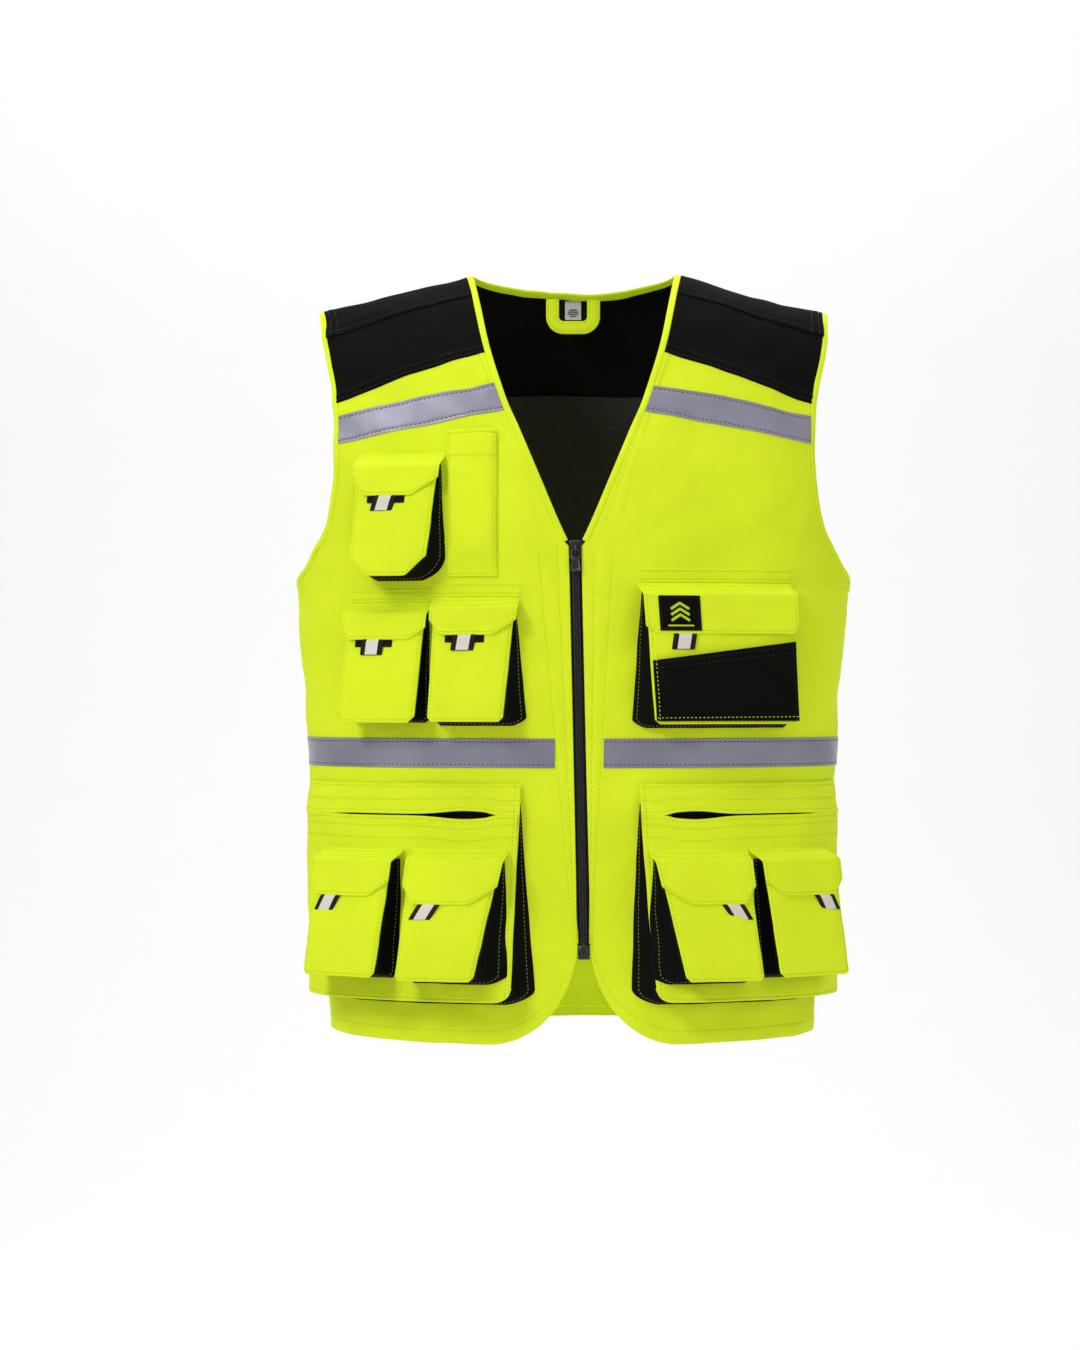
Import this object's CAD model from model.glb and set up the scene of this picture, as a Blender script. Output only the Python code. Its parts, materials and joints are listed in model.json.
# The looks of a multi-pocket high visibility vest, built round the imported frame.
# Lengths in this script are millimetres, with heights measured up from the hem, until a mesh is written.
import json
import math
import bpy
import numpy as np
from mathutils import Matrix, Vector, noise


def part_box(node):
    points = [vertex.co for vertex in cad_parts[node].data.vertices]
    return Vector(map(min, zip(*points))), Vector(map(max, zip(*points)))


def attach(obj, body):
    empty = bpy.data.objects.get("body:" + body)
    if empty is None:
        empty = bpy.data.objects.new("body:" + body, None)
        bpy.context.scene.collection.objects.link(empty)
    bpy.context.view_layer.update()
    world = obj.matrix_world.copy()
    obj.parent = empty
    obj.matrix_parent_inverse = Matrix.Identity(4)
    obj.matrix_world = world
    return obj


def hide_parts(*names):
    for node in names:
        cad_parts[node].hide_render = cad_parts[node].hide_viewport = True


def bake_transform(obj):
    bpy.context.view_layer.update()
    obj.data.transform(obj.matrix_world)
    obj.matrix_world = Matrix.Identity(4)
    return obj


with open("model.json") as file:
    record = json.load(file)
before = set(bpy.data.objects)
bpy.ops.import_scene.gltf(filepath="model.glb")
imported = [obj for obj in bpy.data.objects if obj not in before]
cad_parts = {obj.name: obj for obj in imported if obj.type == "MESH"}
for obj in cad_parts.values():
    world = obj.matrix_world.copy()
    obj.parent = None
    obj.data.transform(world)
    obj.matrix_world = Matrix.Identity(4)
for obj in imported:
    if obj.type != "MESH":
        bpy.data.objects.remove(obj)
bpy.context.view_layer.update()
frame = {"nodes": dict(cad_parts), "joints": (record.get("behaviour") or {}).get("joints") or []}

MM = 0.001
QUARTER = math.pi / 2
joints = {j["name"]: j for j in frame["joints"]}

# ---- Sizes of the vest, from the frame ----

FABRIC = 1.6
SEAM = 0.3
BINDING = 8.0
ROUNDNESS = 2.4
CHEST_Z = 455.0
NECK_HALF = 94.0
SHOULDER_HALF = 240.0
SHOULDER_DROP = 38.0
ARM_HALF = 220.0
V_BOTTOM_Z = 456.0
BACK_NECK_DROP = 11.0
YOKE_INNER_Z = 627.0
YOKE_OUTER_Z = 586.0
YOKE_BACK_Z = 600.0
SEAM_INNER_Z = 686.0
SEAM_OUTER_Z = 648.0
HEM_CORNER = 95.0
HEM_RISE = 6.0
TAPE_WIDTH = 26.0
CHEST_TAPE_INNER_Z = 581.0
CHEST_TAPE_OUTER_Z = 558.0
ZIP_HALF = 6.0
CHAIN_HALF = 2.9

left_axis = joints["left_front_open"]
LENGTH = -left_axis["pos_m"][2] / MM
HALF_HEM = left_axis["pos_m"][0] / MM - FABRIC
LEAN_SIDE = left_axis["axis"][0] / left_axis["axis"][2]
ARMPIT_Z = 420.0
HALF_ARMPIT = HALF_HEM + LEAN_SIDE * ARMPIT_Z
FRONT_DEPTH = 130.0
BACK_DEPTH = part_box("back_panel")[1].y / MM - FABRIC
slide = joints["zip_slider_travel"]["axis"]
LEAN = -slide[0] / slide[2] * V_BOTTOM_Z


def height(node, top):
    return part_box(node)[1 if top else 0].z / MM + LENGTH


WAIST_TAPE_Z = (height("back_waist_tape", True) + height("back_waist_tape", False)) / 2
BACK_TAPE_Z = 560.0
ZIP_BOTTOM_Z = height("zip_chain_left", False)


def lerp(a, b, t):
    return a + (b - a) * t


def smooth(low, high, x):
    t = np.clip((x - low) / (high - low), 0, 1)
    return t * t * (3 - 2 * t)


def drift(z):
    return LEAN * np.maximum(1 - z / V_BOTTOM_Z, 0)


# ---- The body's form: places are (turn, run), as in the design ----


def half_width(z):
    return HALF_HEM + (HALF_ARMPIT - HALF_HEM) * z / ARMPIT_Z


def shoulder_z(x):
    return LENGTH - SHOULDER_DROP * np.clip((np.abs(x) - NECK_HALF) / (SHOULDER_HALF - NECK_HALF), 0, 1.2)


def form(turn, run, lift=0.0):
    turn, run, lift = np.broadcast_arrays(np.asarray(turn, float), run, lift)
    back = run > 1
    up = np.where(back, 2 - run, run)
    rise = np.sin(np.maximum(up, 0) * QUARTER)
    close = np.cos(np.maximum(up, 0) * QUARTER)
    level = np.where(up < 0, CHEST_Z * (1 + up), CHEST_Z + (LENGTH - CHEST_Z) * rise)
    out = np.maximum(np.cos(turn * QUARTER), 0) ** (2 / ROUNDNESS)
    across = np.sin(np.minimum(np.abs(turn), 1) * QUARTER) ** (2 / ROUNDNESS)
    x = np.sign(turn) * (half_width(level) + lift) * across
    z = np.where(up < 0, level, CHEST_Z + (shoulder_z(x) - CHEST_Z + lift) * rise)
    depth = np.where(back, BACK_DEPTH + lift, -(FRONT_DEPTH + lift))
    return np.stack([x, depth * out * close, z], -1)


def place(x, z, back=False):
    x = np.asarray(x, float)
    share = (z - CHEST_Z) / (shoulder_z(x) - CHEST_Z)
    up = np.where(z < CHEST_Z, z / CHEST_Z - 1, np.arcsin(np.clip(share, 0, 1)) / QUARTER)
    level = np.where(z < CHEST_Z, z, CHEST_Z + (LENGTH - CHEST_Z) * share)
    turn = np.arcsin(np.minimum(np.abs(x) / half_width(level), 1) ** (ROUNDNESS / 2)) / QUARTER
    return np.stack([np.sign(x) * turn, 2 - up if back else up + 0 * turn], -1)


def front_y(x, z, lift):
    share = np.clip((z - CHEST_Z) / (shoulder_z(x) - CHEST_Z + lift), 0, 1)
    level = np.where(z < CHEST_Z, z, CHEST_Z + (LENGTH - CHEST_Z) * share)
    inside = 1 - (np.abs(x) / (half_width(level) + lift)) ** ROUNDNESS
    return -(FRONT_DEPTH + lift) * np.sqrt(1 - share**2) * np.maximum(inside, 0) ** (1 / ROUNDNESS)


def side_turn(gap, depth):
    return math.acos((gap / depth) ** (ROUNDNESS / 2)) / QUARTER


FRONT_SIDE = side_turn(SEAM, FRONT_DEPTH)
BACK_SIDE = side_turn(SEAM, BACK_DEPTH)
TAPE_SIDE = side_turn(6, BACK_DEPTH)


def spline(points):
    """A Catmull-Rom spline through points, as a function of 0 to 1."""
    points = np.array(points, float)
    last = len(points) - 1

    def at(t):
        position = min(max(t, 0), 1) * last
        k = min(int(position), last - 1)
        w = position - k
        p0 = points[max(k - 1, 0)]
        p1 = points[k]
        p2 = points[k + 1]
        p3 = points[min(k + 2, last)]
        v0 = (p2 - p0) / 2
        v1 = (p3 - p1) / 2
        return (2 * p1 - 2 * p2 + v0 + v1) * w**3 + (3 * p2 - 3 * p1 - 2 * v0 - v1) * w**2 + v0 * w + p1

    return at


arm_line = spline([
    (1, place(0, ARMPIT_Z)[1]),
    place(HALF_ARMPIT - 4, ARMPIT_Z + 9),
    place(HALF_ARMPIT - 13, ARMPIT_Z + 24),
    place(ARM_HALF + 8, ARMPIT_Z + 55),
    place(ARM_HALF, ARMPIT_Z + 103),
    place(ARM_HALF + 2, ARMPIT_Z + 160),
    place(SHOULDER_HALF - 8, LENGTH - SHOULDER_DROP - 31),
    place(SHOULDER_HALF, LENGTH),
])
neck_line = spline([
    place(ZIP_HALF, V_BOTTOM_Z),
    place(28, V_BOTTOM_Z + 50),
    place(49, V_BOTTOM_Z + 100),
    place(64, V_BOTTOM_Z + 136),
    place(80, V_BOTTOM_Z + 190),
    place(NECK_HALF - 2, LENGTH - 8),
    (place(NECK_HALF - 3, LENGTH)[0], 1.06),
    place(NECK_HALF * 0.55, LENGTH - BACK_NECK_DROP + 2, True),
    (0, place(0, LENGTH - BACK_NECK_DROP, True)[1]),
])


def inset(curve, t, width, turn_to):
    """The place a width in from a curve's point at t, square to it."""
    e = 1e-4
    here = np.array(curve(t), float)
    a, b = curve(max(t - e, 0)), curve(min(t + e, 1))
    along = form(*b) - form(*a)
    low, high = max(here[0] - e, -1), min(here[0] + e, 1)
    per_turn = (form(high, here[1]) - form(low, here[1])) / (high - low)
    per_run = (form(here[0], here[1] + e) - form(here[0], here[1] - e)) / (2 * e)
    across = np.cross(np.cross(per_turn, per_run), along)
    across *= width * turn_to / np.linalg.norm(across)
    metric = np.array([[per_turn @ per_turn, per_turn @ per_run], [per_turn @ per_run, per_run @ per_run]])
    moved = here + np.linalg.solve(metric, [across @ per_turn, across @ per_run])
    moved[0] = min(max(moved[0], -1), 1)
    return moved


def neck_edge(t, width=BINDING):
    return inset(neck_line, t, width, -1)


def arm_edge(t, width=BINDING):
    return inset(arm_line, t, width, 1)


def crossing(curve, before, high=1.0):
    low = 0.0
    for _ in range(36):
        middle = (low + high) / 2
        if before(curve(middle)):
            low = middle
        else:
            high = middle
    return low


def box_of(node):
    """A CAD node's lowest and highest corner, in the sizes this script works in."""
    return (np.array(c) / MM + [0, 0, LENGTH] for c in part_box(node))


def slope(inner_z, outer_z):
    return lambda x: lerp(inner_z, outer_z, (np.abs(x) - NECK_HALF) / (ARM_HALF - NECK_HALF))


yoke_edge = slope(YOKE_INNER_Z, YOKE_OUTER_Z)
shoulder_seam = slope(SEAM_INNER_Z, SEAM_OUTER_Z)
chest_tape_middle = slope(CHEST_TAPE_INNER_Z, CHEST_TAPE_OUTER_Z)


FRONT_ARMPIT = crossing(arm_line, lambda s: s[0] > FRONT_SIDE)
BACK_ARMPIT = crossing(arm_line, lambda s: s[0] > BACK_SIDE)
ARM_BACK = crossing(arm_edge, lambda s: form(s[0], 2 - s[1])[2] < YOKE_BACK_Z)


def mirrored(spots, side):
    return np.asarray(spots) * np.array([side, 1.0])


def over_back(spot):
    return np.array([spot[0], 2 - spot[1]])


def between(bottom, top, left, right):
    """Places of a patch between four rows of edge places: bottom and top over u, left and right over v."""
    bottom, top, left, right = (np.asarray(e, float) for e in (bottom, top, left, right))

    def rise(edge):
        return (edge[:, 1] - edge[0, 1]) / (edge[-1, 1] - edge[0, 1])

    w = ((rise(left) + rise(right)) / 2)[None, :, None]
    u = np.linspace(0, 1, len(bottom))[:, None, None]
    bend_left = left[None] - lerp(left[0], left[-1], w)
    bend_right = right[None] - lerp(right[0], right[-1], w)
    return lerp(bottom[:, None], top[:, None], w) + lerp(bend_left, bend_right, u)


# ---- Folds of the hanging cloth ----


def wave(x, y, z, scale, seed):
    return noise.noise(Vector((x / scale, y / scale, z / scale + seed)))


def cloth_folds(points):
    """How far the body cloth stands off its form, in millimetres, at each of an array of points."""
    flat = points.reshape(-1, 3)
    out = np.empty(len(flat))
    for k, (x, y, z) in enumerate(flat):
        broad = 4.2 * wave(x, y, z * 0.6, 95, 3.1)
        drag = 2.6 * wave(x * 0.45 + z * 0.4, y * 0.4, z * 0.9 - abs(x) * 0.5, 34, 9.7)
        fine = 0.75 * wave(x, y, z, 17, 5.3)
        hem = 3.4 * wave(x + z * 0.25, y, z * 0.12, 28, 7.7) * max(0.0, 1 - z / 130)
        out[k] = broad + drag + fine + hem
    calm = np.where(flat[:, 1] < 0, smooth(10, 50, np.abs(flat[:, 0] - drift(flat[:, 2]))), 1.0)
    return (out * (0.1 + 0.9 * calm)).reshape(points.shape[:-1])


def lifted(spots, lift):
    """Points of the body cloth a lift above its form, with its folds."""
    flat = form(spots[..., 0], spots[..., 1], 0.0)
    return form(spots[..., 0], spots[..., 1], lift + cloth_folds(flat))


# ---- Materials ----


class Shader:
    """A material's nodes, added one at a time."""

    def __init__(self, name, **values):
        self.material = bpy.data.materials.new(name)
        self.material.use_nodes = True
        self.tree = self.material.node_tree
        self.surface = self.tree.nodes["Principled BSDF"]
        for key, value in values.items():
            self.surface.inputs[key.replace("_", " ")].default_value = value

    def node(self, kind, links=(), **settings):
        made = self.tree.nodes.new(kind)
        for key, value in settings.items():
            if key[0] == "i" and key[1:].isdigit():
                made.inputs[int(key[1:])].default_value = value
            else:
                setattr(made, key, value)
        for source, place_in in links:
            self.tree.links.new(source, made.inputs[place_in])
        return made.outputs[0]

    def set(self, name, source):
        self.tree.links.new(source, self.surface.inputs[name])

    def coordinates(self, scale, uv=True):
        source = self.tree.nodes.new("ShaderNodeTexCoord").outputs["UV" if uv else "Object"]
        return self.node("ShaderNodeVectorMath", [(source, 0)], operation="MULTIPLY", i1=scale)

    def noise(self, scale, detail=3.0, uv=False, stretch=(1, 1, 1)):
        made = self.node("ShaderNodeTexNoise", [(self.coordinates(stretch, uv), "Vector")])
        made.node.inputs["Scale"].default_value = scale
        made.node.inputs["Detail"].default_value = detail
        return made

    def maths(self, operation, a, b=0.0, c=0.0):
        made = self.tree.nodes.new("ShaderNodeMath")
        made.operation = operation
        for k, value in enumerate((a, b, c)):
            if isinstance(value, (int, float)):
                made.inputs[k].default_value = value
            else:
                self.tree.links.new(value, made.inputs[k])
        return made.outputs[0]

    def remap(self, value, low, high, to_low, to_high):
        made = self.tree.nodes.new("ShaderNodeMapRange")
        self.tree.links.new(value, made.inputs[0])
        for k, number in enumerate((low, high, to_low, to_high)):
            made.inputs[k + 1].default_value = number
        return made.outputs[0]

    def mix(self, share, a, b):
        made = self.tree.nodes.new("ShaderNodeMix")
        made.data_type = "RGBA"
        for k, value in ((0, share), (6, a), (7, b)):
            if isinstance(value, (int, float, tuple)):
                made.inputs[k].default_value = value
            else:
                self.tree.links.new(value, made.inputs[k])
        return made.outputs[2]

    def rows(self, pitch, axis, angle=0.0):
        """Ridges pitch metres apart along a UV axis, from -1 to 1."""
        uv = self.tree.nodes.new("ShaderNodeTexCoord").outputs["UV"]
        if angle:
            made = self.tree.nodes.new("ShaderNodeVectorRotate")
            made.inputs["Angle"].default_value = angle
            self.tree.links.new(uv, made.inputs["Vector"])
            uv = made.outputs[0]
        split = self.tree.nodes.new("ShaderNodeSeparateXYZ")
        self.tree.links.new(uv, split.inputs[0])
        return self.maths("SINE", self.maths("MULTIPLY", split.outputs[axis], 2 * math.pi / pitch))

    def bump(self, height, distance, strength=1.0, under=None):
        made = self.tree.nodes.new("ShaderNodeBump")
        made.inputs["Strength"].default_value = strength
        made.inputs["Distance"].default_value = distance
        self.tree.links.new(height, made.inputs["Height"])
        if under is not None:
            self.tree.links.new(under, made.inputs["Normal"])
        return made.outputs[0]


def tint(colour, factor):
    return tuple(min(c * factor, 1.0) for c in colour[:3]) + (1.0,)


def cloth_material(name, colour, roughness=0.86, weave=0.0009, sheen=0.25, glow=0.0, twill=False,
                   mottle=0.10, shine=0.18):
    s = Shader(name, Roughness=roughness)
    s.surface.inputs["Sheen Weight"].default_value = sheen
    s.surface.inputs["Sheen Roughness"].default_value = 0.5
    s.surface.inputs["Sheen Tint"].default_value = tint(colour, 1.1)
    s.surface.inputs["Specular IOR Level"].default_value = shine
    cloudy = s.noise(9.0, 4.0)
    grain = s.noise(900.0, 2.0)
    shade = s.maths("ADD", s.maths("MULTIPLY", cloudy, 0.65), s.maths("MULTIPLY", grain, 0.35))
    shade = s.remap(shade, 0.35, 0.65, 0.0, 1.0)
    base = s.mix(shade, tint(colour, 1 - mottle), tint(colour, 1 + mottle * 0.4))
    s.set("Base Color", base)
    if glow:
        s.set("Emission Color", base)
        s.surface.inputs["Emission Strength"].default_value = glow
    warp = s.rows(weave, 0, 0.8 if twill else 0.0)
    weft = s.rows(weave, 1, 0.8 if twill else 0.0)
    height = s.maths("MULTIPLY", s.maths("MULTIPLY", warp, weft), 1.0)
    if twill:
        height = s.maths("ADD", s.maths("MULTIPLY", warp, 0.7), s.maths("MULTIPLY", weft, 0.25))
    crumple = s.bump(s.noise(42.0, 5.0), 0.0022, 0.55)
    s.set("Normal", s.bump(height, 0.00012, 0.7, crumple))
    return s.material


YELLOW = (0.735, 0.90, 0.018, 1.0)
INK = (0.0045, 0.0043, 0.0038, 1.0)

yellow = cloth_material("hi_vis_twill", YELLOW, 0.8, 0.0009, 0.08, 0.07, True, 0.07)
yellow_tape = cloth_material("hi_vis_binding", YELLOW, 0.72, 0.0012, 0.1, 0.07, False, 0.07)
black = cloth_material("black_oxford", INK, 0.85, 0.0011, 0.01, 0.0, False, 0.35, 0.07)
bellows = cloth_material("black_bellows_cloth", INK, 0.8, 0.0010, 0.02, 0.0, True, 0.35, 0.08)
webbing = cloth_material("black_webbing", (0.008, 0.008, 0.008, 1), 0.6, 0.0016, 0.2, 0.0, False, 0.3)
cream = cloth_material("cream_webbing_stripe", (0.80, 0.76, 0.66, 1), 0.65, 0.0016, 0.2, 0.0, False, 0.12)
zip_cloth = cloth_material("zip_tape_weave", (0.007, 0.007, 0.008, 1), 0.7, 0.0012, 0.2, 0.0, True, 0.3)
label_cloth = cloth_material("white_satin_label", (0.62, 0.62, 0.60, 1), 0.42, 0.0005, 0.1, 0.0, False, 0.08)
hook_loop = cloth_material("hook_and_loop", (0.006, 0.006, 0.006, 1), 0.95, 0.0013, 0.7, 0.0, False, 0.5)
yellow_thread = cloth_material("yellow_thread", (0.52, 0.72, 0.012, 1), 0.5, 0.0006, 0.1, 0.03, True, 0.1)
dark_thread = cloth_material("dark_thread", (0.02, 0.02, 0.022, 1), 0.45, 0.0006, 0.3, 0.0, True, 0.2)
olive_thread = cloth_material("olive_thread", (0.22, 0.28, 0.03, 1), 0.5, 0.0006, 0.3, 0.0, True, 0.2)


def lining_material():
    """A knitted mesh whose holes show as darker, deeper dots in staggered rows."""
    s = Shader("knitted_mesh", Roughness=0.9)
    s.surface.inputs["Sheen Weight"].default_value = 0.3
    across = s.rows(0.0030, 0, math.radians(45))
    along = s.rows(0.0030, 1, math.radians(45))
    holes = s.remap(s.maths("MULTIPLY", across, along), 0.05, 0.55, 0.0, 1.0)
    dots = s.maths("MAXIMUM", holes, s.remap(s.maths("MULTIPLY", across, along), -0.55, -0.05, 1.0, 0.0))
    s.set("Base Color", s.mix(dots, (0.020, 0.020, 0.0085, 1), (0.0035, 0.0035, 0.0022, 1)))
    s.set("Normal", s.bump(dots, -0.0004, 0.9, s.bump(s.noise(30.0, 3.0), 0.003, 0.5)))
    return s.material


def tape_material():
    """Silver tape of tiny glass beads: a lilac grey sheen over a fine diamond pattern."""
    s = Shader("reflective_beads", Roughness=0.42, Metallic=0.35)
    s.surface.inputs["Specular IOR Level"].default_value = 0.5
    s.surface.inputs["Sheen Weight"].default_value = 0.3
    a = s.rows(0.0016, 0, math.radians(45))
    b = s.rows(0.0016, 1, math.radians(45))
    cell = s.remap(s.maths("MAXIMUM", a, b), 0.6, 1.0, 0.0, 1.0)
    beads = s.node("ShaderNodeTexVoronoi", [(s.coordinates((1, 1, 1)), "Vector")]).node
    beads.inputs["Scale"].default_value = 2600.0
    cloudy = s.remap(s.noise(14.0, 4.0), 0.3, 0.7, 0.0, 1.0)
    base = s.mix(cloudy, (0.235, 0.225, 0.30, 1), (0.335, 0.325, 0.40, 1))
    s.set("Base Color", s.mix(s.maths("MULTIPLY", cell, 0.35), base, (0.16, 0.155, 0.20, 1)))
    fine = s.bump(beads.outputs["Distance"], 0.0001, 0.5, s.bump(s.noise(55.0, 4.0), 0.0012, 0.6))
    s.set("Normal", s.bump(cell, -0.0001, 0.5, fine))
    return s.material


def metal_material():
    s = Shader("gunmetal_plating", Metallic=1.0, Roughness=0.32)
    worn = s.remap(s.noise(60.0, 5.0), 0.4, 0.7, 0.0, 1.0)
    s.set("Base Color", s.mix(worn, (0.045, 0.046, 0.05, 1), (0.12, 0.12, 0.125, 1)))
    s.set("Roughness", s.remap(s.noise(220.0, 4.0), 0.3, 0.7, 0.24, 0.44))
    s.set("Normal", s.bump(s.noise(350.0, 3.0), 0.00008, 0.5))
    return s.material


def nylon_material():
    s = Shader("moulded_nylon", Roughness=0.38)
    s.surface.inputs["Specular IOR Level"].default_value = 0.5
    s.set("Base Color", s.mix(s.noise(80.0, 3.0), (0.006, 0.006, 0.0065, 1), (0.013, 0.013, 0.014, 1)))
    s.set("Roughness", s.remap(s.noise(200.0, 3.0), 0.3, 0.7, 0.3, 0.48))
    return s.material


mesh_cloth = lining_material()
silver = tape_material()
gunmetal = metal_material()
nylon = nylon_material()


# ---- Pieces ----


def unit(v):
    return v / np.maximum(np.linalg.norm(v, axis=-1, keepdims=True), 1e-9)


def gradient(grid, axis):
    return np.gradient(grid, axis=axis)


class Piece:
    """One named mesh, gathered from skins, stitches and small solids."""

    def __init__(self, name):
        self.name = name
        self.points = []
        self.uvs = []
        self.faces = []
        self.looks = []
        self.materials = []
        self.count = 0

    def add(self, points, faces, material, uv=None):
        points = np.asarray(points, float).reshape(-1, 3)
        if material not in self.materials:
            self.materials.append(material)
        if np.isscalar(uv) or uv is None:
            uv = np.stack([points[:, 0] + points[:, 1], points[:, 2]], -1) * MM
        look = self.materials.index(material)
        for block in faces if isinstance(faces, list) else [faces]:
            self.faces.append(np.asarray(block) + self.count)
            self.looks.append(np.full(len(block), look))
        self.points.append(points)
        self.uvs.append(np.asarray(uv).reshape(-1, 2))
        self.count += len(points)

    def skin(self, grid, thick, material, ref, rim=0.4, looks=None):
        """A thin closed cloth whose outer face is a grid of points. ref points roughly out of it."""
        m, n = grid.shape[:2]
        normal = unit(np.cross(gradient(grid, 0), gradient(grid, 1)))
        flipped = np.sum(normal * ref) < 0
        if flipped:
            normal = -normal
        inner = grid - normal * thick
        out = np.zeros_like(grid)
        out[0] += unit(grid[0] - grid[1])
        out[-1] += unit(grid[-1] - grid[-2])
        out[:, 0] += unit(grid[:, 0] - grid[:, 1])
        out[:, -1] += unit(grid[:, -1] - grid[:, -2])
        border = np.concatenate([
            np.arange(n - 1),
            np.arange(m - 1) * n + n - 1,
            (m - 1) * n + np.arange(n - 1, 0, -1),
            np.arange(m - 1, 0, -1) * n,
        ])
        middle = (grid - normal * thick / 2 + unit(out) * thick * rim).reshape(-1, 3)[border]
        u = np.concatenate([[0], np.cumsum(np.linalg.norm(np.diff(grid, axis=0), axis=-1).mean(1))])
        v = np.concatenate([[0], np.cumsum(np.linalg.norm(np.diff(grid, axis=1), axis=-1).mean(0))])
        uv = np.stack(np.meshgrid(u, v, indexing="ij"), -1).reshape(-1, 2) * MM
        i, j = np.meshgrid(np.arange(m - 1), np.arange(n - 1), indexing="ij")
        a = i * n + j
        face = np.stack([a, a + n, a + n + 1, a + 1], -1).reshape(-1, 4)
        back = face[:, ::-1] + m * n
        ring = np.arange(len(border))
        nxt = np.roll(ring, -1)
        low = 2 * m * n
        front_rim = np.stack([border[ring], border[nxt], low + nxt, low + ring], -1)
        back_rim = np.stack([low + ring, low + nxt, m * n + border[nxt], m * n + border[ring]], -1)
        blocks = [face, back, front_rim, back_rim]
        if flipped:
            blocks = [b[:, ::-1] for b in blocks]
        points = np.concatenate([grid.reshape(-1, 3), inner.reshape(-1, 3), middle])
        start = len(self.looks)
        self.add(points, blocks, material, np.concatenate([uv, uv, uv[border]]))
        if looks is not None:
            for extra in looks:
                if extra[0] not in self.materials:
                    self.materials.append(extra[0])
                chosen = extra[1](i, j).reshape(-1)
                for k in (start, start + 1):
                    self.looks[k] = np.where(chosen, self.materials.index(extra[0]), self.looks[k])
        return normal

    def stitches(self, path, normal, material, pitch=3.8, length=2.7, wide=0.38, proud=0.28):
        """A row of stitches along a path of points."""
        path = np.asarray(path)
        run = np.concatenate([[0], np.cumsum(np.linalg.norm(np.diff(path, axis=0), axis=-1))])
        if run[-1] < pitch:
            return
        at = np.arange(pitch / 2, run[-1], pitch)

        def sample(values, where):
            return np.stack([np.interp(where, run, values[:, k]) for k in range(3)], -1)

        centre = sample(path, at)
        along = unit(sample(path, at + length / 2) - sample(path, at - length / 2))
        up = unit(sample(np.asarray(normal), at))
        side = np.cross(along, up)
        centre = centre + up * 0.05
        half = length / 2
        corners = [-along * half - up * 0.35, -along * half * 0.5 + side * wide + up * proud * 0.4,
                   -along * half * 0.5 + up * proud, -along * half * 0.5 - side * wide + up * proud * 0.4,
                   along * half * 0.5 + side * wide + up * proud * 0.4, along * half * 0.5 + up * proud,
                   along * half * 0.5 - side * wide + up * proud * 0.4, along * half - up * 0.35]
        points = np.stack([centre + c for c in corners], 1)
        quads = np.array([[1, 2, 5, 4], [2, 3, 6, 5], [3, 1, 4, 6]])
        tris = np.array([[0, 2, 1], [0, 3, 2], [0, 1, 3], [7, 4, 5], [7, 5, 6], [7, 6, 4]])
        base = np.arange(len(at))[:, None, None] * 8
        blocks = [(base + quads[:, ::-1]).reshape(-1, 4), (base + tris[:, ::-1]).reshape(-1, 3)]
        self.add(points, blocks, material)

    def block(self, low, high, material, shear=None, bevel=0.0):
        """A box between two corners, bevelled by cutting its corners in section."""
        low, high = np.array(low, float), np.array(high, float)
        b = min(bevel, (high - low).min() * 0.45)
        rings = []
        steps = [(low[2], 0), (high[2], 0)]
        if b:
            steps = [(low[2], b), (low[2] + b, 0), (high[2] - b, 0), (high[2], b)]
        for z, cut in steps:
            x0, x1, y0, y1 = low[0] + cut, high[0] - cut, low[1] + cut, high[1] - cut
            if b:
                ring = [(x0 + b, y0), (x1 - b, y0), (x1, y0 + b), (x1, y1 - b),
                        (x1 - b, y1), (x0 + b, y1), (x0, y1 - b), (x0, y0 + b)]
            else:
                ring = [(x0, y0), (x1, y0), (x1, y1), (x0, y1)]
            rings.append([(x, y, z) for x, y in ring])
        self.rings(np.array(rings), material, shear)

    def rings(self, rings, material, shear=None):
        """A closed solid lofted through rings of points, capped at both ends."""
        rings = np.asarray(rings, float)
        m, n = rings.shape[:2]
        points = rings.reshape(-1, 3).copy()
        if shear is not None:
            points[:, 0] += shear(points[:, 2])
        k = np.arange(n)
        nxt = (k + 1) % n
        band = np.stack([k, nxt, n + nxt, n + k], -1)
        sides = np.concatenate([band + r * n for r in range(m - 1)])
        self.add(points, [sides, k[::-1][None], ((m - 1) * n + k)[None]], material)

    def build(self, body, nodes=(), slot=None, blend=None):
        points = np.concatenate(self.points)
        mesh = bpy.data.meshes.new(self.name)
        mesh.vertices.add(len(points))
        mesh.vertices.foreach_set("co", ((points - [0, 0, LENGTH]) * MM).ravel())
        loops = np.concatenate([f.ravel() for f in self.faces])
        sizes = np.concatenate([np.full(len(f), f.shape[1]) for f in self.faces])
        mesh.loops.add(len(loops))
        mesh.loops.foreach_set("vertex_index", loops.astype(np.int32))
        mesh.polygons.add(len(sizes))
        mesh.polygons.foreach_set("loop_start", (np.cumsum(sizes) - sizes).astype(np.int32))
        mesh.polygons.foreach_set("material_index", np.concatenate(self.looks).astype(np.int32))
        mesh.polygons.foreach_set("use_smooth", np.ones(len(sizes), bool))
        for made in self.materials:
            mesh.materials.append(made)
        mesh.update(calc_edges=True)
        mesh.uv_layers.new(name="UVMap").data.foreach_set("uv", np.concatenate(self.uvs)[loops].ravel())
        mesh.set_sharp_from_angle(angle=math.radians(48))
        thing = bpy.data.objects.new(self.name, mesh)
        bpy.context.scene.collection.objects.link(thing)
        if blend:
            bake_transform(thing)
        else:
            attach(thing, body)
        if nodes:
            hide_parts(*nodes)
        return thing


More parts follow.
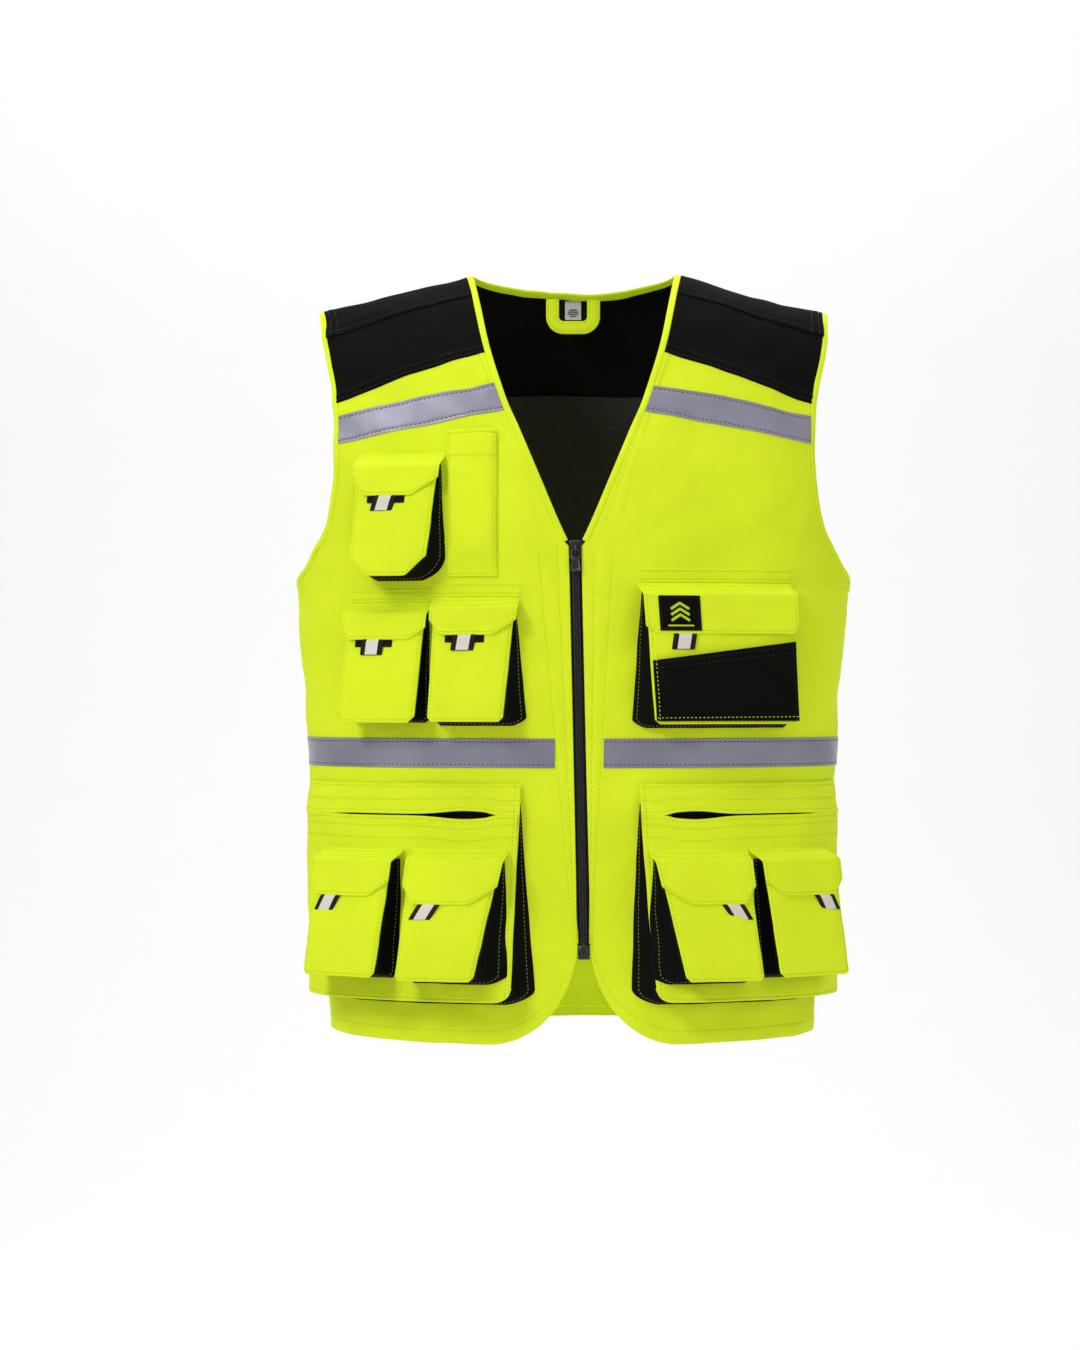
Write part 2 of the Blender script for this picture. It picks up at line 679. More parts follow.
def ticks(length, step, low=(), high=()):
    """Distances along a length: even steps, with finer ones round stitch lines from either end."""
    marks = [*np.linspace(0, length, max(int(round(length / step)), 2) + 1)]
    fine = [0.7, *(d + k for d in low for k in (-1.4, -0.7, 0, 0.7, 1.4))]
    fine += [length - 0.7, *(length - d + k for d in high for k in (-1.4, -0.7, 0, 0.7, 1.4))]
    kept = [0.0, float(length)]
    keys = [m for m in fine if 0.3 < m < length - 0.3]
    for m in keys + marks:
        if all(abs(m - k) > 0.34 for k in kept):
            kept.append(float(m))
    return np.array(sorted(kept))


def sewn(t, length, low=(), high=(), fold=0.45):
    """How far a cloth's face stands out at its ticks: thick to the last stitch line, sunk on each."""
    relief = np.zeros_like(t)
    for lines, d in ((low, t), (high, length - t)):
        if not lines:
            continue
        relief += fold * (1 - smooth(max(lines) + 0.6, max(lines) + 2.0, d)) * smooth(-0.8, 0.9, d)
        for line in lines:
            relief -= 0.6 * np.exp(-(((d - line) / 0.75) ** 2))
    return relief


def nearest(t, value):
    return int(np.argmin(np.abs(t - value)))


def outward(grid):
    """A direction roughly out of the body at each of a grid of points."""
    middle = np.stack([grid[..., 0] * 0.3, 0 * grid[..., 1], np.minimum(grid[..., 2], 560)], -1)
    return grid - middle


# ---- Body cloth ----

RAW = BINDING - 2.0  # the cloth runs this far under its bindings


def seam_row(seam, gap, share, armhole_width=RAW):
    """Places along a seam from the neck to the armhole, for the wearer's left."""
    def neck(t):
        return neck_edge(t, RAW)

    def arm(t):
        return arm_edge(t, armhole_width)

    def lower(spot):
        point = form(*spot)
        return point[2] < seam(point[0]) - gap

    start = form(*neck(crossing(neck, lower, 0.75)))[0]
    end = form(*arm(crossing(arm, lower)))[0]
    x = lerp(start, end, share)
    return place(x, seam(x) - gap)


def edge_share(edge, seam, gap, high=1.0):
    def lower(spot):
        point = form(*spot)
        return point[2] < seam(point[0]) - gap

    return crossing(lambda t: edge(t, RAW), lower, high)


def row(edge, shares):
    return np.array([edge(t, RAW) for t in shares])


def line_of(piece, grid, normal, material, j=None, i=None, part=slice(None), **how):
    if j is not None:
        piece.stitches(grid[part, j], normal[part, j], material, **how)
    else:
        piece.stitches(grid[i, part], normal[i, part], material, **how)


def front_panel(side):
    """The yellow front of one side, with its folded hems."""
    name = "right" if side < 0 else "left"
    piece = Piece(f"front_panel_{name}_cloth")
    wide, low_tall, high_tall = 235.0, 375.0, 185.0
    t_u = ticks(wide, 3.6, low=(2.2, 8.5), high=())
    t_low = ticks(low_tall, 3.6, low=(11.0,))
    t_high = ticks(high_tall, 3.4)
    shares_high = t_high / high_tall
    u = t_u / wide
    zip_top = V_BOTTOM_Z - BINDING * 0.6
    top_neck = edge_share(neck_edge, yoke_edge, -1.0, 0.75)
    top_arm = edge_share(arm_edge, yoke_edge, -1.0)
    z = lerp(HEM_CORNER, zip_top, t_low / low_tall)
    left_low = place(side * ZIP_HALF + drift(z), z)
    neck = mirrored(row(neck_edge, lerp(0.02, top_neck, shares_high)), side)
    left = np.concatenate([left_low, neck[1:]])
    corner = arm_edge(FRONT_ARMPIT, RAW)[1]
    hem_run = place(0, HEM_RISE)[1]
    side_run = lerp(hem_run, corner, t_low / low_tall)
    side_low = np.stack([np.full_like(t_low, side * FRONT_SIDE), side_run], -1)
    arm = mirrored(row(arm_edge, lerp(FRONT_ARMPIT, top_arm, shares_high)), side)
    right = np.concatenate([side_low, arm[1:]])
    hem_x = side * ZIP_HALF + drift(HEM_CORNER)
    angle = np.minimum(u / 0.45, 1) * QUARTER
    hem_z = HEM_CORNER - (HEM_CORNER - HEM_RISE / 3) * np.sin(angle)
    hem = place(hem_x + side * 80 * (1 - np.cos(angle)), hem_z)
    bend = place(hem_x + side * 80, HEM_RISE / 3)
    away = np.clip((u - 0.45) / 0.55, 0, 1)[:, None]
    hem = np.where(away > 0, lerp(bend, np.array([side * FRONT_SIDE, hem_run]), away), hem)
    top = mirrored(seam_row(yoke_edge, -1.0, u), side)
    hem[0], top[0] = left[0], left[-1]
    hem[-1], top[-1] = right[0], right[-1]
    spots = between(hem, top, left, right)
    v = np.concatenate([t_low, low_tall + t_high[1:]])
    relief = sewn(t_u, wide, low=(2.2, 8.5))[:, None] + sewn(v, low_tall + high_tall, low=(11.0,))[None]
    grid = lifted(spots, FABRIC + relief)
    normal = piece.skin(grid, 1.3, yellow, outward(grid))
    stitch_row = nearest(v, 11.0)
    line_of(piece, grid, normal, yellow_thread, j=stitch_row, part=slice(nearest(t_u, 8.5), None))
    line_of(piece, grid, normal, yellow_thread, i=nearest(t_u, 2.2), part=slice(0, len(t_low)))
    line_of(piece, grid, normal, yellow_thread, i=nearest(t_u, 8.5), part=slice(stitch_row, len(t_low)))
    return piece


def front_yoke(side):
    name = "right" if side < 0 else "left"
    piece = Piece(f"front_yoke_{name}_cloth")
    wide, tall = 132.0, 62.0
    t_u, t_v = ticks(wide, 3.4), ticks(tall, 3.4, low=(3.0, 8.0), high=(3.0,))
    low_gap, high_gap = 3.0, -2.5
    neck = row(neck_edge, lerp(edge_share(neck_edge, yoke_edge, low_gap, 0.75),
                               edge_share(neck_edge, shoulder_seam, high_gap, 0.75), t_v / tall))
    arm = row(arm_edge, lerp(edge_share(arm_edge, yoke_edge, low_gap),
                             edge_share(arm_edge, shoulder_seam, high_gap), t_v / tall))
    low, high = seam_row(yoke_edge, low_gap, t_u / wide), seam_row(shoulder_seam, high_gap, t_u / wide)
    spots = mirrored(between(low, high, neck, arm), side)
    grid = lifted(spots, FABRIC + 0.7 + sewn(t_v, tall, low=(3.0, 8.0))[None])
    normal = piece.skin(grid, 1.2, black, outward(grid))
    for distance in (3.0, 8.0):
        line_of(piece, grid, normal, dark_thread, j=nearest(t_v, distance))
    return piece


def back_seam_row(share, gap):
    end = arm_edge(ARM_BACK, RAW)
    reach = form(end[0], 2 - end[1])[0]
    return place(share * reach, YOKE_BACK_Z - gap + 0 * share, True)


def back_panel():
    piece = Piece("back_panel_cloth")
    wide, low_tall, high_tall = 620.0, 420.0, 175.0
    t_u, t_low, t_high = ticks(wide, 4.2), ticks(low_tall, 4.2, low=(11.0,)), ticks(high_tall, 4.0)
    u = t_u / wide
    corner = 2 - arm_edge(BACK_ARMPIT, RAW)[1]
    hem_run = place(0, HEM_RISE / 2, True)[1]
    shares = lerp(BACK_ARMPIT, ARM_BACK, t_high / high_tall)[1:]
    above = np.array([over_back(arm_edge(t, RAW)) for t in shares])

    def edge(side):
        low = np.stack([np.full_like(t_low, side * BACK_SIDE), lerp(hem_run, corner, t_low / low_tall)], -1)
        return np.concatenate([low, mirrored(above, side)])

    left, right = edge(-1), edge(1)
    hem = np.stack([lerp(-BACK_SIDE, BACK_SIDE, u), np.full_like(u, hem_run)], -1)
    top = back_seam_row(2 * u - 1, -1.0)
    top[0], top[-1] = left[-1], right[-1]
    spots = between(hem, top, left, right)
    v = np.concatenate([t_low, low_tall + t_high[1:]])
    grid = lifted(spots, FABRIC + sewn(v, low_tall + high_tall, low=(11.0,))[None])
    normal = piece.skin(grid, 1.3, yellow, outward(grid))
    line_of(piece, grid, normal, yellow_thread, j=nearest(v, 11.0))
    return piece


def back_yoke():
    """Black yoke from shoulder seam to shoulder seam, round below the back neck."""
    piece = Piece("back_yoke_cloth")
    tall = 100.0
    t_v = ticks(tall, 3.6, low=(3.0,), high=(3.0, 8.0))
    v = t_v / tall
    neck_top = edge_share(neck_edge, shoulder_seam, 0.5, 0.75)
    arm_top = edge_share(arm_edge, shoulder_seam, 0.5)
    beside = 0.6
    along = np.linspace(0, 1, 70)
    neck = row(neck_edge, lerp(neck_top, 1, along))
    outer = []
    for t in along:
        over = lerp(arm_top, 2 - ARM_BACK, min(t / beside, 1))
        spot = arm_edge(over, RAW) if over < 1 else over_back(arm_edge(2 - over, RAW))
        outer.append(spot if t <= beside else back_seam_row(np.array((1 - t) / (1 - beside)), 3.0))
    outer = np.array(outer)
    start = seam_row(shoulder_seam, 0.5, v)
    end = lerp(neck[-1], np.array([0, outer[-1, 1]]), v[:, None])
    start[0], start[-1] = neck[0], outer[0]
    straight = lerp(neck[:, None], outer[:, None], v[None, :, None])
    bend = start - lerp(start[0], start[-1], v[:, None])
    fade = (1 - smooth(0, 0.25, along))[:, None, None]
    half = straight + bend[None] * fade
    half[-1] = end
    spots = np.concatenate([half * [-1, 1], half[-2::-1]])
    relief = sewn(t_v, tall, high=(3.0, 8.0))[None]
    lap = 1 - smooth(0.02, 0.08, np.concatenate([along, along[-2::-1]]))
    grid = lifted(spots, FABRIC + 0.7 + relief + 1.2 * lap[:, None])
    normal = piece.skin(grid, 1.2, black, outward(grid))
    for distance in (3.0, 8.0):
        line_of(piece, grid, normal, dark_thread, j=nearest(t_v, tall - distance))
    for i in (1, -2):
        line_of(piece, grid, normal, dark_thread, i=i)
    return piece


def mesh_lining():
    piece = Piece("back_mesh_lining_cloth")
    low = 92.0
    hem = place(0, low, True)[1]
    t_v = ticks(520.0, 6.5, low=(7.0,))
    u = np.linspace(-1, 1, 90)
    top = back_seam_row(u, -5.0)[:, 1]
    run = lerp(hem, top[:, None], (t_v / 520.0)[None])
    arm = np.array([over_back(arm_edge(t, RAW + 1)) for t in np.linspace(ARM_BACK, BACK_ARMPIT, 60)])
    order = np.argsort(arm[:, 1])
    reach = np.minimum(np.interp(run, arm[order, 1], arm[order, 0]), TAPE_SIDE)
    spots = np.stack([u[:, None] * reach, run], -1)
    flat = form(spots[..., 0], spots[..., 1])
    sag = np.abs(np.sin(flat[..., 0] / 21.0 + flat[..., 2] / 60.0)) * smooth(0, 60, 520 - t_v)[None]
    grid = lifted(spots, -1.2 - 0.8 * sag)
    normal = piece.skin(grid, 0.7, mesh_cloth, outward(grid))
    inside = grid - normal * 0.8
    piece.stitches(inside[:, nearest(t_v, 7.0)], -normal[:, nearest(t_v, 7.0)], dark_thread)
    return piece


def binding_strip(piece, shares, edge, flip_at):
    """A folded tape over a raw edge, through stations of an edge curve; flip_at places each station."""
    section = [(0.0, 0.0), (0.35, 0.85), (1.3, 1.2), (3.4, 1.45), (5.4, 1.25), (6.1, 0.75), (6.7, 1.15),
               (7.7, 1.0), (8.1, 0.45), (8.1, -0.45), (7.7, -1.0), (6.4, -0.9), (3.5, -1.25),
               (1.3, -1.15), (0.35, -0.8)]
    rows = []
    for k, t in enumerate(shares):
        a, b = flip_at(k, edge(t, 0.0)), flip_at(k, edge(t, BINDING))
        rows.append([lerp(a, b, w / BINDING) for w, _ in section])
    spots = np.array(rows)
    rise = np.array([h for _, h in section])
    grid = lifted(spots, FABRIC / 2 + rise[None])
    m, n = grid.shape[:2]
    i, j = np.meshgrid(np.arange(m - 1), np.arange(n), indexing="ij")
    a = i * n + j
    b = i * n + (j + 1) % n
    face = np.stack([a, a + n, b + n, b], -1).reshape(-1, 4)
    volume_sign = np.sum(np.cross(grid[1, 0] - grid[0, 0], grid[0, 3] - grid[0, 0]) * outward(grid)[0, 3])
    caps = [np.arange(n)[None], ((m - 1) * n + np.arange(n))[::-1][None]]
    run = np.concatenate([[0], np.cumsum(np.linalg.norm(np.diff(grid[:, 3], axis=0), axis=-1))])
    around = np.concatenate([[0], np.cumsum(np.hypot(*np.diff(np.array(section), axis=0).T))])
    uv = np.stack(np.meshgrid(run, around, indexing="ij"), -1).reshape(-1, 2) * MM
    blocks = [face, *caps]
    if volume_sign < 0:
        blocks = [f[:, ::-1] for f in blocks]
    piece.add(grid, blocks, yellow_tape, uv)
    out = unit(outward(grid))
    for at, way in ((5, 1.0), (11, -1.0)):
        line = grid[:, at] + out[:, at] * 0.1 * way
        piece.stitches(line, out[:, at] * way, yellow_thread, pitch=3.4, length=2.4)


def stations(*legs):
    made = [legs[0]]
    for count, end in legs[1:]:
        made += list(np.linspace(made[-1], end, count + 1)[1:])
    return made


def front_bindings(side):
    name = "right" if side < 0 else "left"
    v_piece = Piece(f"v_binding_{name}_tape")
    seam_neck = edge_share(neck_edge, shoulder_seam, 0.0, 0.75)
    binding_strip(v_piece, stations(0.004, (70, seam_neck)), neck_edge, lambda k, spot: mirrored(spot, side))
    arm_piece = Piece(f"armhole_binding_front_{name}_tape")
    seam_arm = edge_share(arm_edge, shoulder_seam, 0.0)
    shares = stations(FRONT_ARMPIT, (70, seam_arm))
    binding_strip(arm_piece, shares, arm_edge, lambda k, spot: mirrored(spot, side))
    return v_piece, arm_piece


def back_bindings():
    neck_piece = Piece("neck_binding_tape")
    seam_neck = edge_share(neck_edge, shoulder_seam, 0.0, 0.75)
    there = stations(seam_neck, (60, 1.0))
    shares = there + there[-2::-1]
    half = len(there)
    binding_strip(neck_piece, shares, neck_edge, lambda k, spot: mirrored(spot, -1 if k < half else 1))
    arms = []
    seam_arm = edge_share(arm_edge, shoulder_seam, 0.0)
    over = stations(seam_arm, (90, 2 - BACK_ARMPIT))
    shares = [t if t <= 1 else 2 - t for t in over]
    for side in (-1, 1):
        piece = Piece(f"armhole_binding_back_{'right' if side < 0 else 'left'}_tape")
        binding_strip(piece, shares, arm_edge,
                      lambda k, spot: mirrored(spot if over[k] <= 1 else over_back(spot), side))
        arms.append(piece)
    return neck_piece, arms


def tape_piece(name, spots, t_v):
    piece = Piece(name)
    relief = sewn(t_v, TAPE_WIDTH, low=(2.6,), high=(2.6,), fold=0.0)[None]
    grid = lifted(spots, FABRIC + 0.95 + relief * 0.7)
    normal = piece.skin(grid, 0.6, silver, outward(grid))
    for distance in (2.6, TAPE_WIDTH - 2.6):
        line_of(piece, grid, normal, dark_thread, j=nearest(t_v, distance), pitch=4.2, length=2.8, wide=0.42)
    return piece


def chest_tape(side):
    t_v = ticks(TAPE_WIDTH, 3.0, low=(2.6,), high=(2.6,))
    u = np.linspace(0, 1, 46)
    rows = [seam_row(chest_tape_middle, TAPE_WIDTH / 2 - d, u) for d in t_v]
    spots = mirrored(np.stack(rows, 1), side)
    return tape_piece(f"chest_tape_{'right' if side < 0 else 'left'}_band", spots, t_v)


def level_tape(name, z, start, end, back):
    t_v = ticks(TAPE_WIDTH, 3.0, low=(2.6,), high=(2.6,))
    turns = np.linspace(start, end, 110)
    level = place(0, z - TAPE_WIDTH / 2 + t_v, back)[..., 1]
    spots = np.stack(np.broadcast_arrays(turns[:, None], level[None]), -1)
    return tape_piece(name, spots, t_v)


# ---- Zip ----

FACE_Y = -(FRONT_DEPTH + FABRIC)
CHAIN_Y = FACE_Y + 0.2
TAPE_Y = -FRONT_DEPTH + 2 * SEAM
TOP_STOP = V_BOTTOM_Z - 2
TOOTH_REACH = 0.55


def zip_parts(side):
    name = "right" if side < 0 else "left"
    tape = Piece(f"zip_tape_{name}_cloth")
    heights = np.linspace(ZIP_BOTTOM_Z, TOP_STOP - 2, 120)
    across = np.array([0.6, 2.2, 3.4, 5.5, 9, 12.5, 15.8])
    x = side * across[:, None] + drift(heights)[None]
    cord = 0.9 * np.exp(-(((across - 1.6) / 1.2) ** 2))
    y = TAPE_Y - cord[:, None] + 0.12 * np.sin(heights / 9.0)[None] + 0 * x
    grid = np.stack([x, y, heights[None] + 0 * x], -1)
    normal = tape.skin(grid, 0.9, zip_cloth, [0.0, -1.0, 0.0])
    tape.stitches(grid[2], normal[2], dark_thread, pitch=2.6, length=1.9)
    chain = Piece(f"zip_chain_{name}_teeth")
    pitch = 2.5
    for z in np.arange(ZIP_BOTTOM_Z + 1, TOP_STOP - 1, pitch):
        z += 0.0 if side < 0 else pitch / 2
        lean = float(drift(z))
        low_x, high_x = sorted((-side * TOOTH_REACH, side * CHAIN_HALF))
        low, high = [lean + low_x, CHAIN_Y + 0.15, z - 0.62], [lean + high_x, CHAIN_Y + 2.5, z + 0.62]
        chain.block(low, high, nylon, bevel=0.28)
    low_x, high_x = sorted((side * 1.9, side * 3.1))
    low, high = [low_x, CHAIN_Y + 0.5, ZIP_BOTTOM_Z], [high_x, CHAIN_Y + 2.3, TOP_STOP]
    chain.block(low, high, nylon, shear=drift, bevel=0.35)
    low_x, high_x = sorted((side * 0.4, side * 3.0))
    low, high = [low_x, CHAIN_Y, TOP_STOP - 4], [high_x, CHAIN_Y + 2.7, TOP_STOP]
    chain.block(low, high, nylon, shear=drift, bevel=0.6)
    return tape, chain


def rounded_plate(piece, outline, y0, y1, material, bevel=0.4):
    """A plate between two depths with an outline of (x, z) points, its rims bevelled inwards."""
    outline = np.array(outline, float)
    centre = outline.mean(0)

    def ring(y, cut):
        size = np.abs(outline - centre).max(0)
        shrunk = centre + (outline - centre) * (1 - cut / size)
        return np.stack([shrunk[:, 0], np.full(len(shrunk), y), shrunk[:, 1]], -1)

    rings = [ring(y0, bevel), ring(y0 + bevel, 0), ring(y1 - bevel, 0), ring(y1, bevel)]
    piece.rings(np.array(rings), material)


def arc_outline(half_top, half_low, z_top, z_low, corner, steps=5):
    """A plate outline that narrows from its top to its foot, with round corners."""
    points = []
    corners = [(half_top, z_top, 0), (-half_top, z_top, 1), (-half_low, z_low, 2), (half_low, z_low, 3)]
    for x, z, quarter in corners:
        cx, cz = x - math.copysign(corner, x), z + (-corner if quarter < 2 else corner)
        for k in range(steps + 1):
            a = (quarter + k / steps) * QUARTER
            points.append((cx + corner * math.cos(a), cz + corner * math.sin(a)))
    return points[::-1]


def zip_hardware():
    box_low, box_high = box_of("zip_slider")
    x0 = (box_low[0] + box_high[0]) / 2
    z0, z1 = box_low[2], box_high[2]
    slider = Piece("zip_slider_body")
    cap_front = CHAIN_Y - SEAM - 2.0

    def shifted(outline):
        return [(x + x0, z) for x, z in outline]

    cap = shifted(arc_outline(5.9, 4.4, z1, z0, 2.0))
    rounded_plate(slider, cap, cap_front, cap_front + 1.9, gunmetal, 0.5)
    for way in (-1, 1):
        low_x, high_x = sorted((x0 + way * 3.5, x0 + way * 5.3))
        low, high = [low_x, cap_front + 1.5, z0 + 1], [high_x, TAPE_Y - 0.5, z1 - 1.5]
        slider.block(low, high, gunmetal, bevel=0.5)
    arch_z = (z0 + z1) / 2
    angles = np.linspace(0.0, math.pi, 15)
    rings = []
    for a in angles:
        cy, cz = -math.sin(a), math.cos(a)
        ring = []
        for b in np.linspace(0, 2 * math.pi, 10, endpoint=False):
            r = 1 + 0.19 * math.cos(b)
            ring.append((x0 + 1.15 * math.sin(b), cap_front + 0.4 + 3.6 * cy * r, arch_z + 4.0 * cz * r))
        rings.append(ring)
    slider.rings(np.array(rings), gunmetal)
    puller = Piece("zip_puller_tab")
    p_low, p_high = box_of("zip_puller")
    y0, y1 = p_low[1], p_high[1]
    outline = shifted(arc_outline(3.4, 4.7, p_high[2] - 6.5, p_low[2], 1.6))
    rounded_plate(puller, outline, y0, y1, gunmetal, 0.4)
    inlay = shifted(arc_outline(2.6, 3.3, p_high[2] - 9.6, p_low[2] + 2.2, 1.0))
    rounded_plate(puller, inlay, y0 - 0.1, y0 + 0.7, nylon, 0.25)
    mid_y = (y0 + y1) / 2
    for way in (-1, 1):
        low_x, high_x = sorted((x0 + way * 2.3, x0 + way * 3.7))
        low, high = [low_x, mid_y - 0.7, p_high[2] - 8.0], [high_x, mid_y + 0.7, p_high[2] - 0.2]
        puller.block(low, high, gunmetal, bevel=0.4)
    low, high = [x0 - 3.2, mid_y - 0.65, p_high[2] - 1.5], [x0 + 3.2, mid_y + 0.65, p_high[2] - 0.1]
    puller.block(low, high, gunmetal, bevel=0.4)
    stop = Piece("zip_retainer_block")
    r_low, r_high = box_of("zip_retainer_box")
    stop.block(r_low, r_high, nylon, bevel=0.9)
    middle = (r_low[0] + r_high[0]) / 2
    for way in (-1, 1):
        low_x, high_x = sorted((middle + way * 1.1, middle + way * 4.2))
        low, high = [low_x, r_low[1] - 0.35, r_low[2] + 2.0], [high_x, r_low[1] + 0.5, r_high[2] - 2.0]
        stop.block(low, high, nylon, bevel=0.3)
    return slider, puller, stop


# ---- Neck loop and label ----


def hanger_loop():
    piece = Piece("hanger_loop_tape")
    low, high = box_of("hanger_loop")
    half, strap = (high[0] - low[0]) / 2, 11.0
    y = (low[1] + high[1]) / 2
    radius = 16.0 - strap / 2
    leg = half - strap / 2
    foot = low[2] + strap / 2

    def bent(way, a):
        return way * (leg - radius * (1 - math.cos(a))), foot + radius * (1 - math.sin(a))

    path = [(-leg, z) for z in np.linspace(high[2], foot + radius, 12)]
    path += [bent(-1, a) for a in np.linspace(0.1, QUARTER, 10)]
    path += [(x, foot) for x in np.linspace(-leg + radius, leg - radius, 9)[1:-1]]
    path += [bent(1, a) for a in np.linspace(QUARTER, 0.1, 10)]
    path += [(leg, z) for z in np.linspace(foot + radius, high[2], 12)]
    path = np.array(path)
    along = unit(np.gradient(path, axis=0))
    side = np.stack([-along[:, 1], along[:, 0]], -1)
    t = ticks(strap, 1.4, low=(1.6,), high=(1.6,))
    rows = path[:, None] + side[:, None] * (t - strap / 2)[None, :, None]
    puff = 0.25 * np.cos((t / strap - 0.5) * math.pi)
    puff = puff + sewn(t, strap, low=(1.6,), high=(1.6,), fold=0.0) * 0.5
    wave_y = 0.12 * np.sin(np.arange(len(path)) / 3.1)
    grid = np.stack([rows[..., 0], y - 0.75 - puff[None] + wave_y[:, None], rows[..., 1]], -1)
    normal = piece.skin(grid, 1.7, yellow_tape, [0.0, -1.0, 0.0])
    for distance in (1.6, strap - 1.6):
        line_of(piece, grid, normal, yellow_thread, j=nearest(t, distance), pitch=3.2, length=2.2)
    return piece


def size_label():
    """A white woven label, marked with plain bars, on a black block between the legs of the loop."""
    piece = Piece("size_label_cloth")
    low, high = box_of("size_label")

    def patch(half, foot, top, y, thick, material, curl):
        x = np.linspace(-half, half, 15)
        z = np.linspace(foot, top, 17)
        bow = curl * (1 - ((z - foot) / (top - foot))) ** 2
        grid = np.stack(np.broadcast_arrays(x[:, None], (y - bow)[None] + 0 * x[:, None], z[None]), -1)
        return grid, piece.skin(grid, thick, material, [0.0, -1.0, 0.0])

    grid, normal = patch(12.4, low[2] - 5.5, high[2] - 0.5, low[1] + 0.3, 0.5, black, 0.2)
    for i in (1, -2):
        line_of(piece, grid, normal, dark_thread, i=i, pitch=2.6, length=1.8)
    grid, normal = patch((high[0] - low[0]) / 2, low[2], high[2] - 1.5, low[1] - 0.4, 0.4, label_cloth, 0.5)
    line_of(piece, grid, normal, dark_thread, j=-2, pitch=2.2, length=1.5)
    for z, half in ((9.5, 3.6), (7.4, 5.0), (5.3, 5.0), (3.2, 3.0)):
        foot, head = [-half, low[1] - 1.05, low[2] + z - 0.45], [half, low[1] - 0.6, low[2] + z + 0.45]
        piece.block(foot, head, dark_thread)
    return piece


# ---- Pockets ----

CARGO = {"inner": 53.0, "outer_turn": 0.86, "top": 237.0, "slit": 209.0, "bottom": 42.0, "neck": 9.0,
         "foot": 22.0}
SLIT = {"inner": 70.0, "outer_turn": 0.72, "gape": 2.9}
FLAP_BEND = 7.0


def cargo_lift(z):
    above = np.clip((z - CARGO["slit"]) / (CARGO["top"] - CARGO["slit"]), 0, 1)
    below = (z - CARGO["bottom"]) / (CARGO["slit"] - CARGO["bottom"])
    neck, foot = CARGO["neck"], CARGO["foot"]
    return np.where(z > CARGO["slit"], lerp(neck, FABRIC + 0.9, above), lerp(foot, neck, below))


def front_x(side, across, z):
    return side * across + drift(z) * (1 - across / HALF_ARMPIT)


def cargo_puff(points):
    """The soft swell of a cargo pocket's face."""
    flat = points.reshape(-1, 3)
    out = np.array([2.2 * wave(x, y, z * 0.5, 60, 21.5) + 0.8 * wave(x, y, z, 24, 4.4) for x, y, z in flat])
    return out.reshape(points.shape[:-1])


